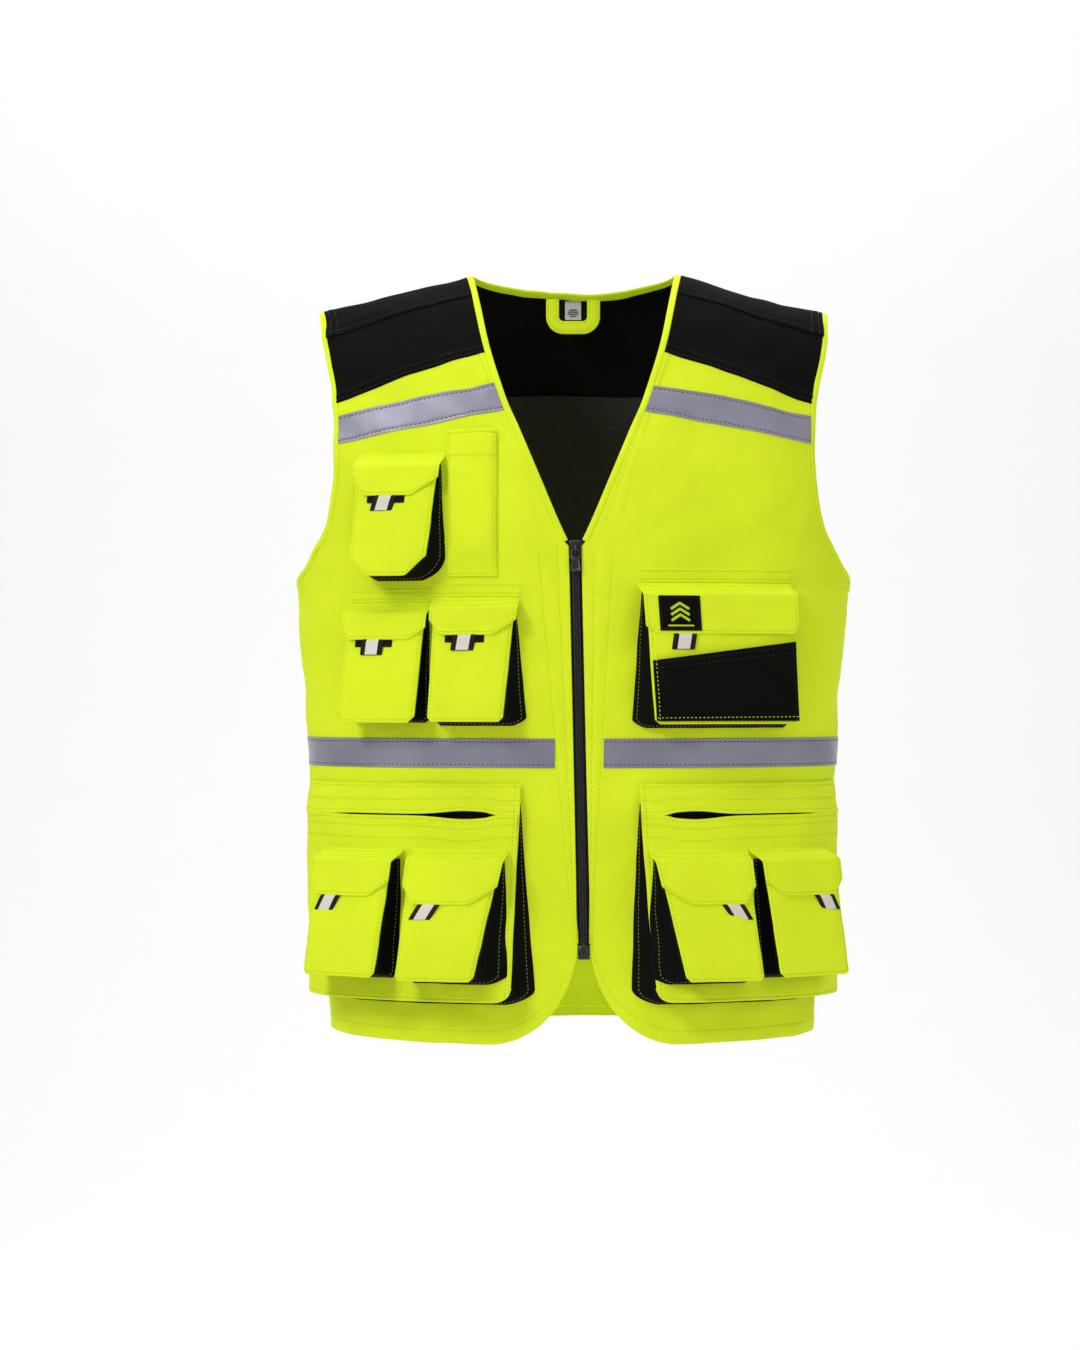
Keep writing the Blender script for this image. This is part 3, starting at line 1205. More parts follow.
class Sewn:
    """A pocket's flat frame, found from its flap's joint: p runs across, r out of the cloth."""

    def __init__(self, joint, prefix, on_cargo=False, swing=(0.0, 0.0)):
        j = joints[joint]
        self.swing = (0.0, 0.0)
        axis = np.array(j["axis"], float)
        self.tangent = np.array([-axis[0], -axis[1], 0.0])
        self.out = np.array([self.tangent[1], -self.tangent[0], 0.0])
        pos = np.array(j["pos_m"]) / MM + [0, 0, LENGTH]
        self.hinge = pos[2]
        self.origin = np.array([pos[0], pos[1], 0.0]) - self.out * 1.3
        self.side = 1 if pos[0] > 0 else -1
        self.on_cargo = on_cargo
        face = self.local(prefix + "_face")
        self.half = np.abs(face[:, 0]).max()
        self.bottom, self.mouth = face[:, 1].min(), face[:, 1].max()
        self.mouth_stand = face[face[:, 1] > self.mouth - 0.5][:, 2].min()
        low = face[face[:, 1] < self.bottom + 0.5]
        self.foot_stand = low[:, 2].min()
        self.corner = self.half - np.abs(low[:, 0]).max()
        gusset = self.local(prefix + "_gusset")
        ends = gusset[gusset[:, 1] < self.bottom + self.corner + 12]
        self.splay_left = max(-self.half - ends[:, 0].min(), 0)
        self.splay_right = max(ends[:, 0].max() - self.half, 0)
        self.drop = max(self.bottom - gusset[:, 1].min(), 0)
        flap = self.local(prefix + "_flap")
        self.flap_half = np.abs(flap[:, 0]).max()
        tab = flap[flap[:, 1] < flap[:, 1].min() + 0.5]
        self.tab = (tab[:, 0].min() + tab[:, 0].max()) / 2
        self.flap_low = flap[:, 1].min() + 14.0
        corner = flap[np.abs(flap[:, 0]) > self.flap_half - 0.5]
        self.flap_corner = np.sort(corner[:, 1])[0] - self.flap_low
        self.swing = swing if self.side > 0 else swing[::-1]

    def local(self, node):
        thing = frame["nodes"][node]
        points = np.empty(len(thing.data.vertices) * 3)
        thing.data.vertices.foreach_get("co", points)
        world = np.array(thing.matrix_world)
        points = points.reshape(-1, 3) @ world[:3, :3].T + world[:3, 3]
        points = points / MM + [0, 0, LENGTH]
        from_origin = points - self.origin
        return np.stack([from_origin @ self.tangent, points[:, 2], from_origin @ self.out], -1)

    def at(self, p, z, r):
        p, z, r = np.broadcast_arrays(np.asarray(p, float), z, r)
        if any(self.swing):
            share = lerp(self.swing[0], self.swing[1], np.clip(p / self.half, -1, 1) / 2 + 0.5)
            proud = np.clip(r / self.stand(z), 0, 1)
            p = p + self.side * share * np.clip(self.hinge - z, 0, None) * proud
        flat = self.origin + p[..., None] * self.tangent + r[..., None] * self.out
        return np.stack([flat[..., 0], flat[..., 1], z], -1)

    def stand(self, z):
        return lerp(self.foot_stand, self.mouth_stand, (z - self.bottom) / (self.mouth - self.bottom))

    def land(self, p, z, sink=0.0):
        """The r at which p and z meet the cloth below, less a sink into it."""
        p, z = np.broadcast_arrays(np.asarray(p, float), z)
        low, high = np.full(p.shape, -150.0), np.full(p.shape, 60.0)
        base = FABRIC + (cargo_lift(z) if self.on_cargo else 0.0) - sink
        for _ in range(26):
            middle = (low + high) / 2
            point = self.at(p, z, middle)
            outside = point[..., 1] < front_y(point[..., 0], z, base)
            high, low = np.where(outside, middle, high), np.where(outside, low, middle)
        flat = self.at(p, z, high)
        flat[..., 1] = front_y(flat[..., 0], z, 0.0)
        folds = cloth_folds(flat)
        return high + folds + (cargo_puff(flat) if self.on_cargo else 0.0)


def chamfered(p, half, low_width, high_width, rise):
    """How much higher an outline's foot is at p, with a slanted corner of its own width at either end."""
    width = np.where(p < 0, low_width, high_width)
    inside = (np.abs(p) - (half - width)) / np.maximum(width, 0.1)
    return rise * (np.sqrt(inside**2 + 0.006) + inside) / 2


def swell(t, length, soft):
    """From 0 at both ends of a row to 1 inside, round at its ends."""
    d = np.clip(np.minimum(t, length - t) / soft, 0, 1)
    return np.sqrt(1 - (1 - d) ** 2)


def pocket_face(pocket, name, bar, wide_bar=36.0):
    piece = Piece(name + "_face_cloth")
    width, tall = 2 * pocket.half, pocket.mouth - pocket.bottom
    t_p = ticks(width, 3.0, low=(2.6,), high=(2.6,))
    t_z = ticks(tall, 3.0, low=(2.6,), high=(9.0,))
    p = t_p - pocket.half
    foot = chamfered(p, pocket.half, pocket.corner, pocket.corner, pocket.corner)
    z = pocket.bottom + foot[:, None] + (tall - foot[:, None]) * (t_z / tall)[None]
    puff = 2.8 * swell(t_p, width, 26)[:, None] * swell(t_z, tall, 30)[None]
    seam = sewn(t_p, width, low=(2.6,), high=(2.6,), fold=0.3)[:, None]
    seam = seam + sewn(t_z, tall, low=(2.6,), high=(9.0,))[None]
    flat = pocket.at(p[:, None], z, 0.0)
    soft = [1.1 * wave(*spot, 30, 13.0) + 0.35 * wave(*spot, 11, 2.0) for spot in flat.reshape(-1, 3)]
    edge = 1.4 * (1 - swell(t_p, width, 6))[:, None]
    r = pocket.stand(z) + FABRIC - 0.5 + puff + seam + np.reshape(soft, z.shape) - edge
    grid = pocket.at(p[:, None], z, r)
    normal = piece.skin(grid, 1.2, yellow, pocket.out)
    for i in (nearest(t_p, 2.6), nearest(t_p, width - 2.6)):
        line_of(piece, grid, normal, yellow_thread, i=i, part=slice(2, None))
    line_of(piece, grid, normal, yellow_thread, j=nearest(t_z, 2.6), part=slice(2, -2))
    line_of(piece, grid, normal, yellow_thread, j=nearest(t_z, tall - 9.0))
    if bar:
        q = np.linspace(pocket.tab - wide_bar / 2, pocket.tab + wide_bar / 2, 18)
        h = ticks(15.0, 1.6, low=(1.4,), high=())
        bz = pocket.flap_low - 6.5 + h
        under = np.stack([[np.interp(a, p, r[:, nearest(t_z, (b - pocket.bottom))]) for b in bz] for a in q])
        patch = pocket.at(q[:, None], bz[None], under + 0.9)
        n = piece.skin(patch, 0.9, hook_loop, np.broadcast_to(pocket.out, patch.shape))
        line_of(piece, patch, n, dark_thread, j=nearest(h, 1.4), pitch=2.8, length=2.0)
    return piece


def pocket_gusset(pocket, name):
    """The black bellows round a pocket: a strip folded inwards between the face's edge and the cloth."""
    piece = Piece(name + "_gusset_cloth")
    half, bend = pocket.half - 0.5, pocket.bottom + pocket.corner
    path = []
    for z in np.linspace(pocket.mouth, bend, 22)[:-1]:
        path.append((-half, z, -1.0, (pocket.mouth - z) / (pocket.mouth - bend)))
    turn = max(int(pocket.corner), 4)
    for a in np.linspace(0, QUARTER, turn + 3)[:-1]:
        x = half - pocket.corner * (1 - math.cos(a))
        path.append((-x, bend - pocket.corner * math.sin(a), -math.cos(a), 1.0))
    for p in np.linspace(-half + pocket.corner, half - pocket.corner, 24):
        path.append((p, pocket.bottom + 0.4, 0.0, 1.0))
    for a in np.linspace(QUARTER, 0, turn + 3)[1:]:
        x = half - pocket.corner * (1 - math.cos(a))
        path.append((x, bend - pocket.corner * math.sin(a), math.cos(a), 1.0))
    for z in np.linspace(bend, pocket.mouth, 22)[1:]:
        path.append((half, z, 1.0, (pocket.mouth - z) / (pocket.mouth - bend)))
    p, z, way, depth = np.array(path).T
    spread = way * np.where(way < 0, pocket.splay_left, pocket.splay_right) * depth
    level = 1 - np.abs(way)
    s = np.linspace(0, 1, 13)
    front_r = pocket.stand(z) + 0.3
    back_p, back_z = p + spread, z - pocket.drop * level
    back_r = pocket.land(back_p, back_z, 1.0)
    fold = np.minimum(5.5, 0.28 * np.maximum(front_r - back_r, 1)) * np.minimum(1, depth + 0.35)
    pleat = -np.sin(s * 2 * math.pi) * 0.35 * (s > 0.5) - np.sin(s * math.pi) ** 2
    ripple = 0.5 * np.sin(np.cumsum(np.hypot(np.gradient(p), np.gradient(z))) / 6.5)
    shift = (fold + ripple)[:, None] * pleat[None]
    # The front edge cuts the corner straight, as the face does; the back edge stays round.
    angle = np.arccos(np.clip(np.abs(way), 0, 1)) / QUARTER
    turning = (np.abs(way) > 0) & (np.abs(way) < 1)
    front_p = np.where(turning, np.sign(way) * (half - pocket.corner * angle), p)
    front_z = np.where(turning, bend - pocket.corner * angle, z)
    rows_p = lerp(front_p[:, None], back_p[:, None], s[None]) + shift * way[:, None]
    rows_z = lerp(front_z[:, None], back_z[:, None], s[None]) - shift * level[:, None]
    rows_r = lerp(front_r[:, None], back_r[:, None], s[None])
    grid = pocket.at(rows_p, rows_z, rows_r)
    centre = pocket.at(0.0, (pocket.mouth + pocket.bottom) / 2, 0.0)
    normal = piece.skin(grid, 0.9, bellows, grid - centre)
    line_of(piece, grid, normal, dark_thread, j=1, pitch=3.4)
    line_of(piece, grid, normal, olive_thread, j=9, pitch=3.6)
    return piece


def pocket_flap(pocket, name, lean_of_tab):
    piece = Piece(name + "_flap_cloth")
    width, tall = 2 * pocket.flap_half, pocket.hinge - pocket.flap_low
    t_p = ticks(width, 3.0, low=(2.6,), high=(2.6,))
    t_z = ticks(tall, 2.2, low=(2.6,), high=(3.0, 7.0))
    p = t_p - pocket.flap_half
    near, far = 1.7 * pocket.flap_corner, 0.85 * pocket.flap_corner
    ends = (near, far) if pocket.side > 0 else (far, near)
    foot = chamfered(p, pocket.flap_half, *ends, 1.15 * pocket.flap_corner)
    z = pocket.flap_low + foot[:, None] + (tall - foot[:, None]) * (t_z / tall)[None]
    fall = pocket.hinge - z
    root = pocket.land(p[:, None], np.minimum(z, pocket.hinge)) + 0.6
    body = pocket.stand(z) + FABRIC + 3.2 + 1.2 * swell(t_p, width, 22)[:, None]
    share = smooth(0, FLAP_BEND + 4, fall)
    edge_sag = 0.8 * (1 - swell(t_z, tall, 9))[None]
    spots = zip(np.repeat(p, len(t_z)), z.reshape(-1))
    soft = np.array([0.9 * wave(a, 7.0, c, 26, pocket.hinge) for a, c in spots])
    seam = sewn(t_p, width, low=(2.6,), high=(2.6,), fold=0.4)[:, None]
    seam = seam + sewn(t_z, tall, low=(2.6,), high=(3.0, 7.0), fold=0.4)[None]
    r = lerp(root, body - edge_sag + soft.reshape(z.shape) * smooth(2, 16, fall), share) + seam
    grid = pocket.at(p[:, None], z, r)
    normal = piece.skin(grid, 1.7, yellow, pocket.out)
    for i in (nearest(t_p, 2.6), nearest(t_p, width - 2.6)):
        line_of(piece, grid, normal, yellow_thread, i=i, part=slice(2, -2))
    line_of(piece, grid, normal, yellow_thread, j=nearest(t_z, 2.6))
    for distance in (3.0, 7.0):
        line_of(piece, grid, normal, yellow_thread, j=nearest(t_z, tall - distance))
    # The pull tab: doubled webbing with a pale middle stripe, sewn under the flap's lower edge.
    q = np.array([-10.3, -9.6, -8.4, -7.2, -6.3, -5.9, -3.0, 0, 3.0, 5.9, 6.3, 7.2, 8.4, 9.6, 10.3])
    h = ticks(19.0, 1.4, low=(), high=(2.0,))
    tz = pocket.flap_low - 13.5 + h
    tab_row = r[nearest(p, pocket.tab)]
    column = np.interp(np.maximum(tz, pocket.flap_low + 1.5), z[len(p) // 2], tab_row)
    hang = pocket.flap_low - tz
    over = column - 0.7 + 1.5 * smooth(-1, 2.5, hang)
    over = over[None] + 0.25 * np.cos(q / 10.5 * QUARTER)[:, None]
    tab_p = pocket.tab + q[:, None] + (pocket.side * lean_of_tab * np.clip(hang, -2, None))[None]
    tab_grid = pocket.at(tab_p, tz[None], over)

    def pale(i, j):
        return np.abs(q[i] + q[i + 1]) / 2 < 6.0

    n = piece.skin(tab_grid, 1.4, webbing, pocket.out, looks=[(cream, pale)])
    for i in (2, -3):
        line_of(piece, tab_grid, n, dark_thread, i=i, pitch=2.6, length=1.9)
    return piece, (p, z, r)


def sewn_band(pocket, name, low, high, left, right):
    """A flat stitched band on the cloth over a pocket."""
    piece = Piece(name)
    t_p = ticks(right - left, 3.2, low=(2.2,), high=(2.2,))
    t_z = ticks(high - low, 2.4, low=(2.2,), high=(2.2,))
    p, z = left + t_p, low + t_z
    relief = sewn(t_z, high - low, low=(2.2,), high=(2.2,), fold=0.2)[None]
    r = pocket.land(p[:, None], z[None]) + 0.75 + relief
    grid = pocket.at(p[:, None], z[None], r)
    normal = piece.skin(grid, 1.0, yellow, pocket.out)
    for distance in (2.2, high - low - 2.2):
        line_of(piece, grid, normal, yellow_thread, j=nearest(t_z, distance))
    return piece


def label_patch(pocket, flap):
    """The black patch on the document pocket's flap, with an emblem of stacked chevrons over a bar."""
    piece = Piece("label_patch_cloth")
    node = pocket.local("label_patch")
    low, high = node.min(0), node.max(0)
    t_p, t_z = (ticks(length, 2.2, low=(1.6,), high=(1.6,)) for length in (high - low)[:2])
    p, z = low[0] + t_p, low[1] + t_z
    flap_p, flap_z, flap_r = flap
    i = [nearest(flap_p, a) for a in p]
    under = np.array([[np.interp(b, flap_z[k], flap_r[k]) for b in z] for k in i])
    under = np.stack([np.convolve(np.pad(c, 2, mode="edge"), np.ones(5) / 5, "valid") for c in under.T], 1)
    r = under + 1.0 + sewn(t_p, high[0] - low[0], low=(1.6,), high=(1.6,), fold=0.2)[:, None]
    grid = pocket.at(p[:, None], z[None], r)
    normal = piece.skin(grid, 0.9, black, pocket.out)
    for i in (nearest(t_p, 1.6), nearest(t_p, high[0] - low[0] - 1.6)):
        line_of(piece, grid, normal, dark_thread, i=i, pitch=2.6, length=1.9)
    for j in (nearest(t_z, 1.6), nearest(t_z, high[1] - low[1] - 1.6)):
        line_of(piece, grid, normal, dark_thread, j=j, pitch=2.6, length=1.9)
    middle = (low + high) / 2

    def on_patch(a, b, lift):
        near = np.interp(b, z, r[nearest(p, a)])
        return pocket.at(a, b, near + lift)

    def ribbon(points, wide):
        """A raised embroidered line through (p, z) points."""
        points = np.array(points, float)
        along = unit(np.gradient(points, axis=0))
        across = np.stack([-along[:, 1], along[:, 0]], -1)
        section = ((-wide, 0.1), (0, 0.5), (wide, 0.1))
        strip = []
        for k, point in enumerate(points):
            strip.append([on_patch(*(point + across[k] * w), h) for w, h in section])
        piece.skin(np.array(strip), 0.3, yellow_thread, pocket.out)

    for drop in (0.0, 5.2, 10.4):
        arm = [(middle[0] + x, middle[1] + 9.0 - drop - 0.62 * abs(x)) for x in np.linspace(-8.5, 8.5, 19)]
        ribbon(arm, 1.15)
    ribbon([(middle[0] + x, middle[1] - 11.2) for x in np.linspace(-12, 12, 20)], 0.7)
    return piece


def overlay_pocket(pocket):
    piece = Piece("document_overlay_pocket_cloth")
    node = pocket.local("document_overlay_pocket")
    half = np.abs(node[:, 0]).max()
    low = node[:, 1].min()
    left_top = node[node[:, 0] < -half + 0.5][:, 1].max()
    right_top = node[node[:, 0] > half - 0.5][:, 1].max()
    t_p, t_s = ticks(2 * half, 3.0, low=(3.0,), high=(3.0,)), ticks(60.0, 2.8, low=(3.0,), high=(3.0, 8.0))
    p = t_p - half
    top = lerp(left_top, right_top, t_p / (2 * half))
    z = lerp(low, top[:, None], (t_s / 60.0)[None])
    free = swell(t_p, 2 * half, 20)[:, None] * smooth(0, 22, t_s)[None]
    soft = np.array([1.1 * wave(a, 31.0, c, 27, 8.8) for a, c in zip(np.repeat(p, len(t_s)), z.reshape(-1))])
    # The cloth gapes away from the face towards its slanted mouth.
    face_puff = 2.8 * swell(t_p + 1.0, 2 * half + 2, 26)[:, None]
    seam = sewn(t_p, 2 * half, low=(3.0,), high=(3.0,), fold=0.3)[:, None]
    seam = seam + sewn(t_s, 60.0, low=(3.0,), high=(3.0, 8.0), fold=0.5)[None]
    r = pocket.stand(z) + FABRIC + 1.5 + face_puff + 2.4 * free + soft.reshape(z.shape) * free + seam
    grid = pocket.at(p[:, None], z, r)
    normal = piece.skin(grid, 1.1, black, pocket.out)
    for i in (nearest(t_p, 3.0), nearest(t_p, 2 * half - 3.0)):
        line_of(piece, grid, normal, yellow_thread if i < 20 else dark_thread, i=i)
    line_of(piece, grid, normal, yellow_thread, j=nearest(t_s, 3.0))
    for distance in (3.0, 8.0):
        line_of(piece, grid, normal, dark_thread, j=nearest(t_s, 60.0 - distance))
    return piece


def pen_pocket():
    """A flat pocket for pens, stitched on three sides, with a deep hem at its open top."""
    piece = Piece("pen_pocket_cloth")
    low, high = box_of("pen_pocket")
    near, far = 69.0, 113.0
    t_p = ticks(far - near, 2.6, low=(2.4,), high=(2.4,))
    tall = high[2] - low[2]
    t_z = ticks(tall, 2.8, low=(2.4,), high=(3.0, 23.0))
    x = -(near + t_p)
    z = low[2] + t_z
    spots = np.stack([place(x, h) for h in z], 1)
    free = swell(t_p, far - near, 12)[:, None] * smooth(2, 30, t_z)[None]
    seam = sewn(t_p, far - near, low=(2.4,), high=(2.4,), fold=0.3)[:, None]
    seam = seam + sewn(t_z, tall, low=(2.4,), high=(3.0, 23.0), fold=0.5)[None]
    grid = lifted(spots, FABRIC + 1.5 + 5.0 * free + seam)
    normal = piece.skin(grid, 1.1, yellow, outward(grid))
    for i in (nearest(t_p, 2.4), nearest(t_p, far - near - 2.4)):
        line_of(piece, grid, normal, yellow_thread, i=i)
    line_of(piece, grid, normal, yellow_thread, j=nearest(t_z, 2.4))
    for distance in (3.0, 23.0):
        line_of(piece, grid, normal, yellow_thread, j=nearest(t_z, tall - distance))
    return piece


def cargo_base(side):
    """The big hip pocket: a lower face and an upper band that part at a long lens-shaped slit."""
    name = "cargo_right" if side < 0 else "cargo_left"
    face = Piece(name + "_face_cloth")
    wide = 215.0
    t_u = ticks(wide, 3.4, low=(3.0,), high=(3.0,))
    u = t_u / wide

    def columns(z):
        return lerp(place(front_x(side, CARGO["inner"], z), z)[..., 0], side * CARGO["outer_turn"], u)

    slit_a = place(front_x(side, SLIT["inner"], CARGO["slit"]), CARGO["slit"])[0]
    slit_b = side * SLIT["outer_turn"]
    slit_u = (columns(CARGO["slit"]) - slit_a) / (slit_b - slit_a)
    slit_u = np.clip(slit_u, 0, 1)
    ends = smooth(0, 0.06, slit_u) * smooth(0, 0.3, 1 - slit_u)
    gape = ends * (1.0 + SLIT["gape"] * np.exp(-(((slit_u - 0.14) / 0.12) ** 2)))

    def cloth(t_z, tall, low_z, high_z, lines_low, lines_high):
        v = t_z / tall
        z = lerp(low_z[:, None], high_z[:, None], v[None])
        spots = np.empty((len(u), len(t_z), 2))
        for j in range(len(t_z)):
            zs = z[:, j]
            swing = 7.0 * np.clip((CARGO["slit"] - zs) / (CARGO["slit"] - CARGO["bottom"]), 0, 1)
            inner = place(front_x(side, CARGO["inner"] + swing, zs), zs)[..., 0]
            spots[:, j, 0] = lerp(inner, side * CARGO["outer_turn"], u)
            spots[:, j, 1] = place(0 * zs, zs)[..., 1]
        flat = form(spots[..., 0], spots[..., 1])
        relief = sewn(t_z, tall, low=lines_low, high=lines_high)[None]
        relief = relief + sewn(t_u, wide, low=(3.0,), high=(3.0,), fold=0.3)[:, None]
        free = swell(t_u, wide, 20)[:, None]
        lift = cargo_lift(z) + FABRIC + relief + cargo_puff(flat) * free
        lift = lift - 2.0 * (1 - swell(t_u, wide, 7))[:, None] * (z < CARGO["slit"])
        grid = lifted(spots, lift)
        normal = face.skin(grid, 1.2, yellow, outward(grid))
        for i in (nearest(t_u, 3.0), nearest(t_u, wide - 3.0)):
            line_of(face, grid, normal, yellow_thread, i=i)
        return grid, normal

    beside = np.clip(np.maximum(1 - t_u / 10, 1 - (wide - t_u) / 10), 0, 1)
    corner = 10.0 * (1 - np.sqrt(1 - beside**2))
    tall = CARGO["slit"] - CARGO["bottom"]
    t_z = ticks(tall, 3.4, low=(3.0,), high=(3.0, 9.0, 20.0))
    grid, normal = cloth(t_z, tall, CARGO["bottom"] + corner, CARGO["slit"] - gape, (3.0,), (3.0,))
    line_of(face, grid, normal, yellow_thread, j=nearest(t_z, 3.0))
    for distance in (3.0, 9.0, 20.0):
        line_of(face, grid, normal, yellow_thread, j=nearest(t_z, tall - distance))
    tall = CARGO["top"] - CARGO["slit"]
    t_z = ticks(tall, 2.8, low=(3.0,), high=(3.0, 15.0))
    grid, normal = cloth(t_z, tall, CARGO["slit"] + gape, np.full(len(u), CARGO["top"]), (3.0,), (3.0, 15.0))
    for j in (nearest(t_z, 3.0), nearest(t_z, tall - 3.0), nearest(t_z, tall - 15.0)):
        line_of(face, grid, normal, yellow_thread, j=j)
    # Black lining close behind the slit.
    lining_u = np.linspace(slit_a, slit_b, 40)
    lining_z = np.linspace(CARGO["slit"] - 22, CARGO["slit"] + 12, 9)
    spots = np.stack(np.broadcast_arrays(lining_u[:, None], place(0 * lining_z, lining_z)[..., 1][None]), -1)
    lining = lifted(spots, 5.4 + 0 * lining_u[:, None])
    face.skin(lining, 0.8, bellows, outward(lining))

    gusset = Piece(name + "_gusset_cloth")
    low, top_z = CARGO["bottom"], CARGO["slit"] + 10
    bend = low + 10.0
    mm = 1 / (FRONT_DEPTH + HALF_ARMPIT - 80)

    def inner_turn(z):
        return float(place(front_x(side, CARGO["inner"], z), z)[0])

    path = [(inner_turn(z) + side * 0.6 * mm, z, -1.0) for z in np.linspace(top_z, bend, 34)]
    for a in np.linspace(0, QUARTER, 8)[1:]:
        x = inner_turn(low) + side * mm * (0.6 + 10 * (1 - math.cos(a)))
        path.append((x, bend - 9.6 * math.sin(a), -math.cos(a)))
    end = side * CARGO["outer_turn"]
    for k in np.linspace(0, 1, 50)[1:-1]:
        path.append((lerp(inner_turn(low) + side * 10 * mm, end - side * 10 * mm, k), low + 0.4, 0.0))
    for a in np.linspace(QUARTER, 0, 8):
        x = end - side * mm * (0.6 + 10 * (1 - math.cos(a)))
        path.append((x, bend - 9.6 * math.sin(a), math.cos(a)))
    path += [(end - side * 0.6 * mm, z, 1.0) for z in np.linspace(bend, top_z, 34)[1:]]
    turn, z, way = np.array(path).T
    s = np.linspace(0, 1, 13)
    share = (top_z - z) / (top_z - low)
    spread = way * side * mm * 9.0 * share * np.where(way < 0, 1.0, 0.33)
    swung = side * mm * 7.0 * np.clip((CARGO["slit"] - z) / (CARGO["slit"] - low), 0, 1)
    swung = swung * (turn - end) / (inner_turn(low) - end)
    level = 1 - np.abs(way)
    back_z = z - 4.0 * level
    depth = cargo_lift(z)
    fold = np.minimum(5.0, 0.26 * depth)
    ripple = 0.6 * np.sin(np.arange(len(z)) * 0.7)
    pleat = -np.sin(s * 2 * math.pi) * 0.35 * (s > 0.5) - np.sin(s * math.pi) ** 2
    shift = (fold + ripple)[:, None] * pleat[None]
    rows_turn = (turn + swung)[:, None] + (spread - swung)[:, None] * s[None]
    rows_turn = rows_turn + shift * (way * side * mm)[:, None]
    rows_z = lerp(z[:, None], back_z[:, None], s[None]) - shift * level[:, None]
    spots = np.stack([rows_turn, place(0 * rows_z, rows_z)[..., 1]], -1)
    lift = lerp((depth + 0.6)[:, None], np.full(len(z), FABRIC - 1.0)[:, None], s[None])
    flat = form(spots[..., 0], spots[..., 1])
    grid = lifted(spots, lift + cargo_puff(flat) * (1 - s)[None] * 0.4)
    centre = form(lerp(inner_turn(120.0), end, 0.5), place(0, 120.0)[1], 8.0)
    normal = gusset.skin(grid, 0.9, bellows, grid - centre)
    line_of(gusset, grid, normal, dark_thread, j=1, pitch=3.4)
    line_of(gusset, grid, normal, olive_thread, j=9, pitch=3.6)
    return face, gusset


# ---- Build every piece on its body ----

FRONT = {-1: "right_front", 1: "left_front"}
NAME = {-1: "right", 1: "left"}
YELLOW_SLOT = "hi_vis_yellow"


def area_of(thing):
    """Half of a thin piece's surface, in square metres."""
    mesh = thing.data
    areas = np.empty(len(mesh.polygons))
    mesh.polygons.foreach_get("area", areas)
    return float(areas.sum() / 2)


def hung(thing, wide, tall):
    min(area_of(thing), wide * tall)


for side in (-1, 1):
    name = NAME[side]
    seam_x = side * (NECK_HALF + ARM_HALF) / 2
    seam_z = float(shoulder_seam(seam_x))
    start = Vector((seam_x, float(front_y(seam_x, seam_z, 0)), seam_z - LENGTH)) * MM
    fall = Vector((-side * 0.289, 0, -0.957)).normalized()
    turn = ("torso", FRONT[side], start, start + fall * 0.125)
    panel = front_panel(side).build(FRONT[side], [f"front_panel_{name}"], YELLOW_SLOT, turn)
    yoke = front_yoke(side).build(FRONT[side], [f"front_yoke_{name}"], "black_cloth", turn)
    v_tape, arm_tape = front_bindings(side)
    v_tape.build(FRONT[side], [f"v_binding_{name}"], YELLOW_SLOT, turn)
    arm_tape.build(FRONT[side], [f"armhole_binding_front_{name}"], YELLOW_SLOT, turn)
    chest_tape(side).build(FRONT[side], [f"chest_tape_{name}"], "reflective_tape", turn)
    start_turn = place(front_x(side, 22.0, WAIST_TAPE_Z), WAIST_TAPE_Z)[0]
    end_turn = side * side_turn(1.2, FRONT_DEPTH)
    waist = level_tape(f"waist_tape_{name}_band", WAIST_TAPE_Z, start_turn, end_turn, False)
    waist.build(FRONT[side], [f"waist_tape_{name}"], "reflective_tape")
    hung(panel, 0.29, 0.63)
    hung(yoke, 0.15, 0.10)
    tape, chain = zip_parts(side)
    tape.build(FRONT[side], [f"zip_tape_{name}"], "zip_nylon")
    chain.build(FRONT[side], [f"zip_chain_{name}"], "zip_nylon")
    cargo_face, cargo_gusset = cargo_base(side)
    cargo_face.build(FRONT[side], [f"cargo_{name}_face"], YELLOW_SLOT)
    cargo_gusset.build(FRONT[side], [f"cargo_{name}_gusset"], "black_cloth")

back = back_panel().build("torso", ["back_panel"], YELLOW_SLOT)
over = back_yoke().build("torso", ["back_yoke"], "black_cloth")
lining = mesh_lining().build("torso", ["back_mesh_lining"], "mesh_lining")
hung(back, 0.66, 0.61)
hung(over, 0.60, 0.24)
hung(lining, 0.60, 0.52)
neck_tape, arm_tapes = back_bindings()
neck_tape.build("torso", ["neck_binding"], YELLOW_SLOT)
for side, tape in zip((-1, 1), arm_tapes):
    tape.build("torso", [f"armhole_binding_back_{NAME[side]}"], YELLOW_SLOT)
chest = level_tape("back_chest_tape_band", BACK_TAPE_Z, -0.5, 0.5, True)
chest.build("torso", ["back_chest_tape"], "reflective_tape")
side_end = side_turn(1.2, BACK_DEPTH)
waist = level_tape("back_waist_tape_band", WAIST_TAPE_Z, -side_end, side_end, True)
waist.build("torso", ["back_waist_tape"], "reflective_tape")

slider, puller, stop = zip_hardware()
slider.build("zip_slider", ["zip_slider"], "gunmetal")
puller.build("zip_puller", ["zip_puller"], "gunmetal")
stop.build("right_front", ["zip_retainer_box"], "zip_nylon")
hanger_loop().build("hanger_loop", ["hanger_loop"], YELLOW_SLOT)
size_label().build("torso", ["size_label"], "label_white")
pen_pocket().build("right_front", ["pen_pocket"], YELLOW_SLOT)

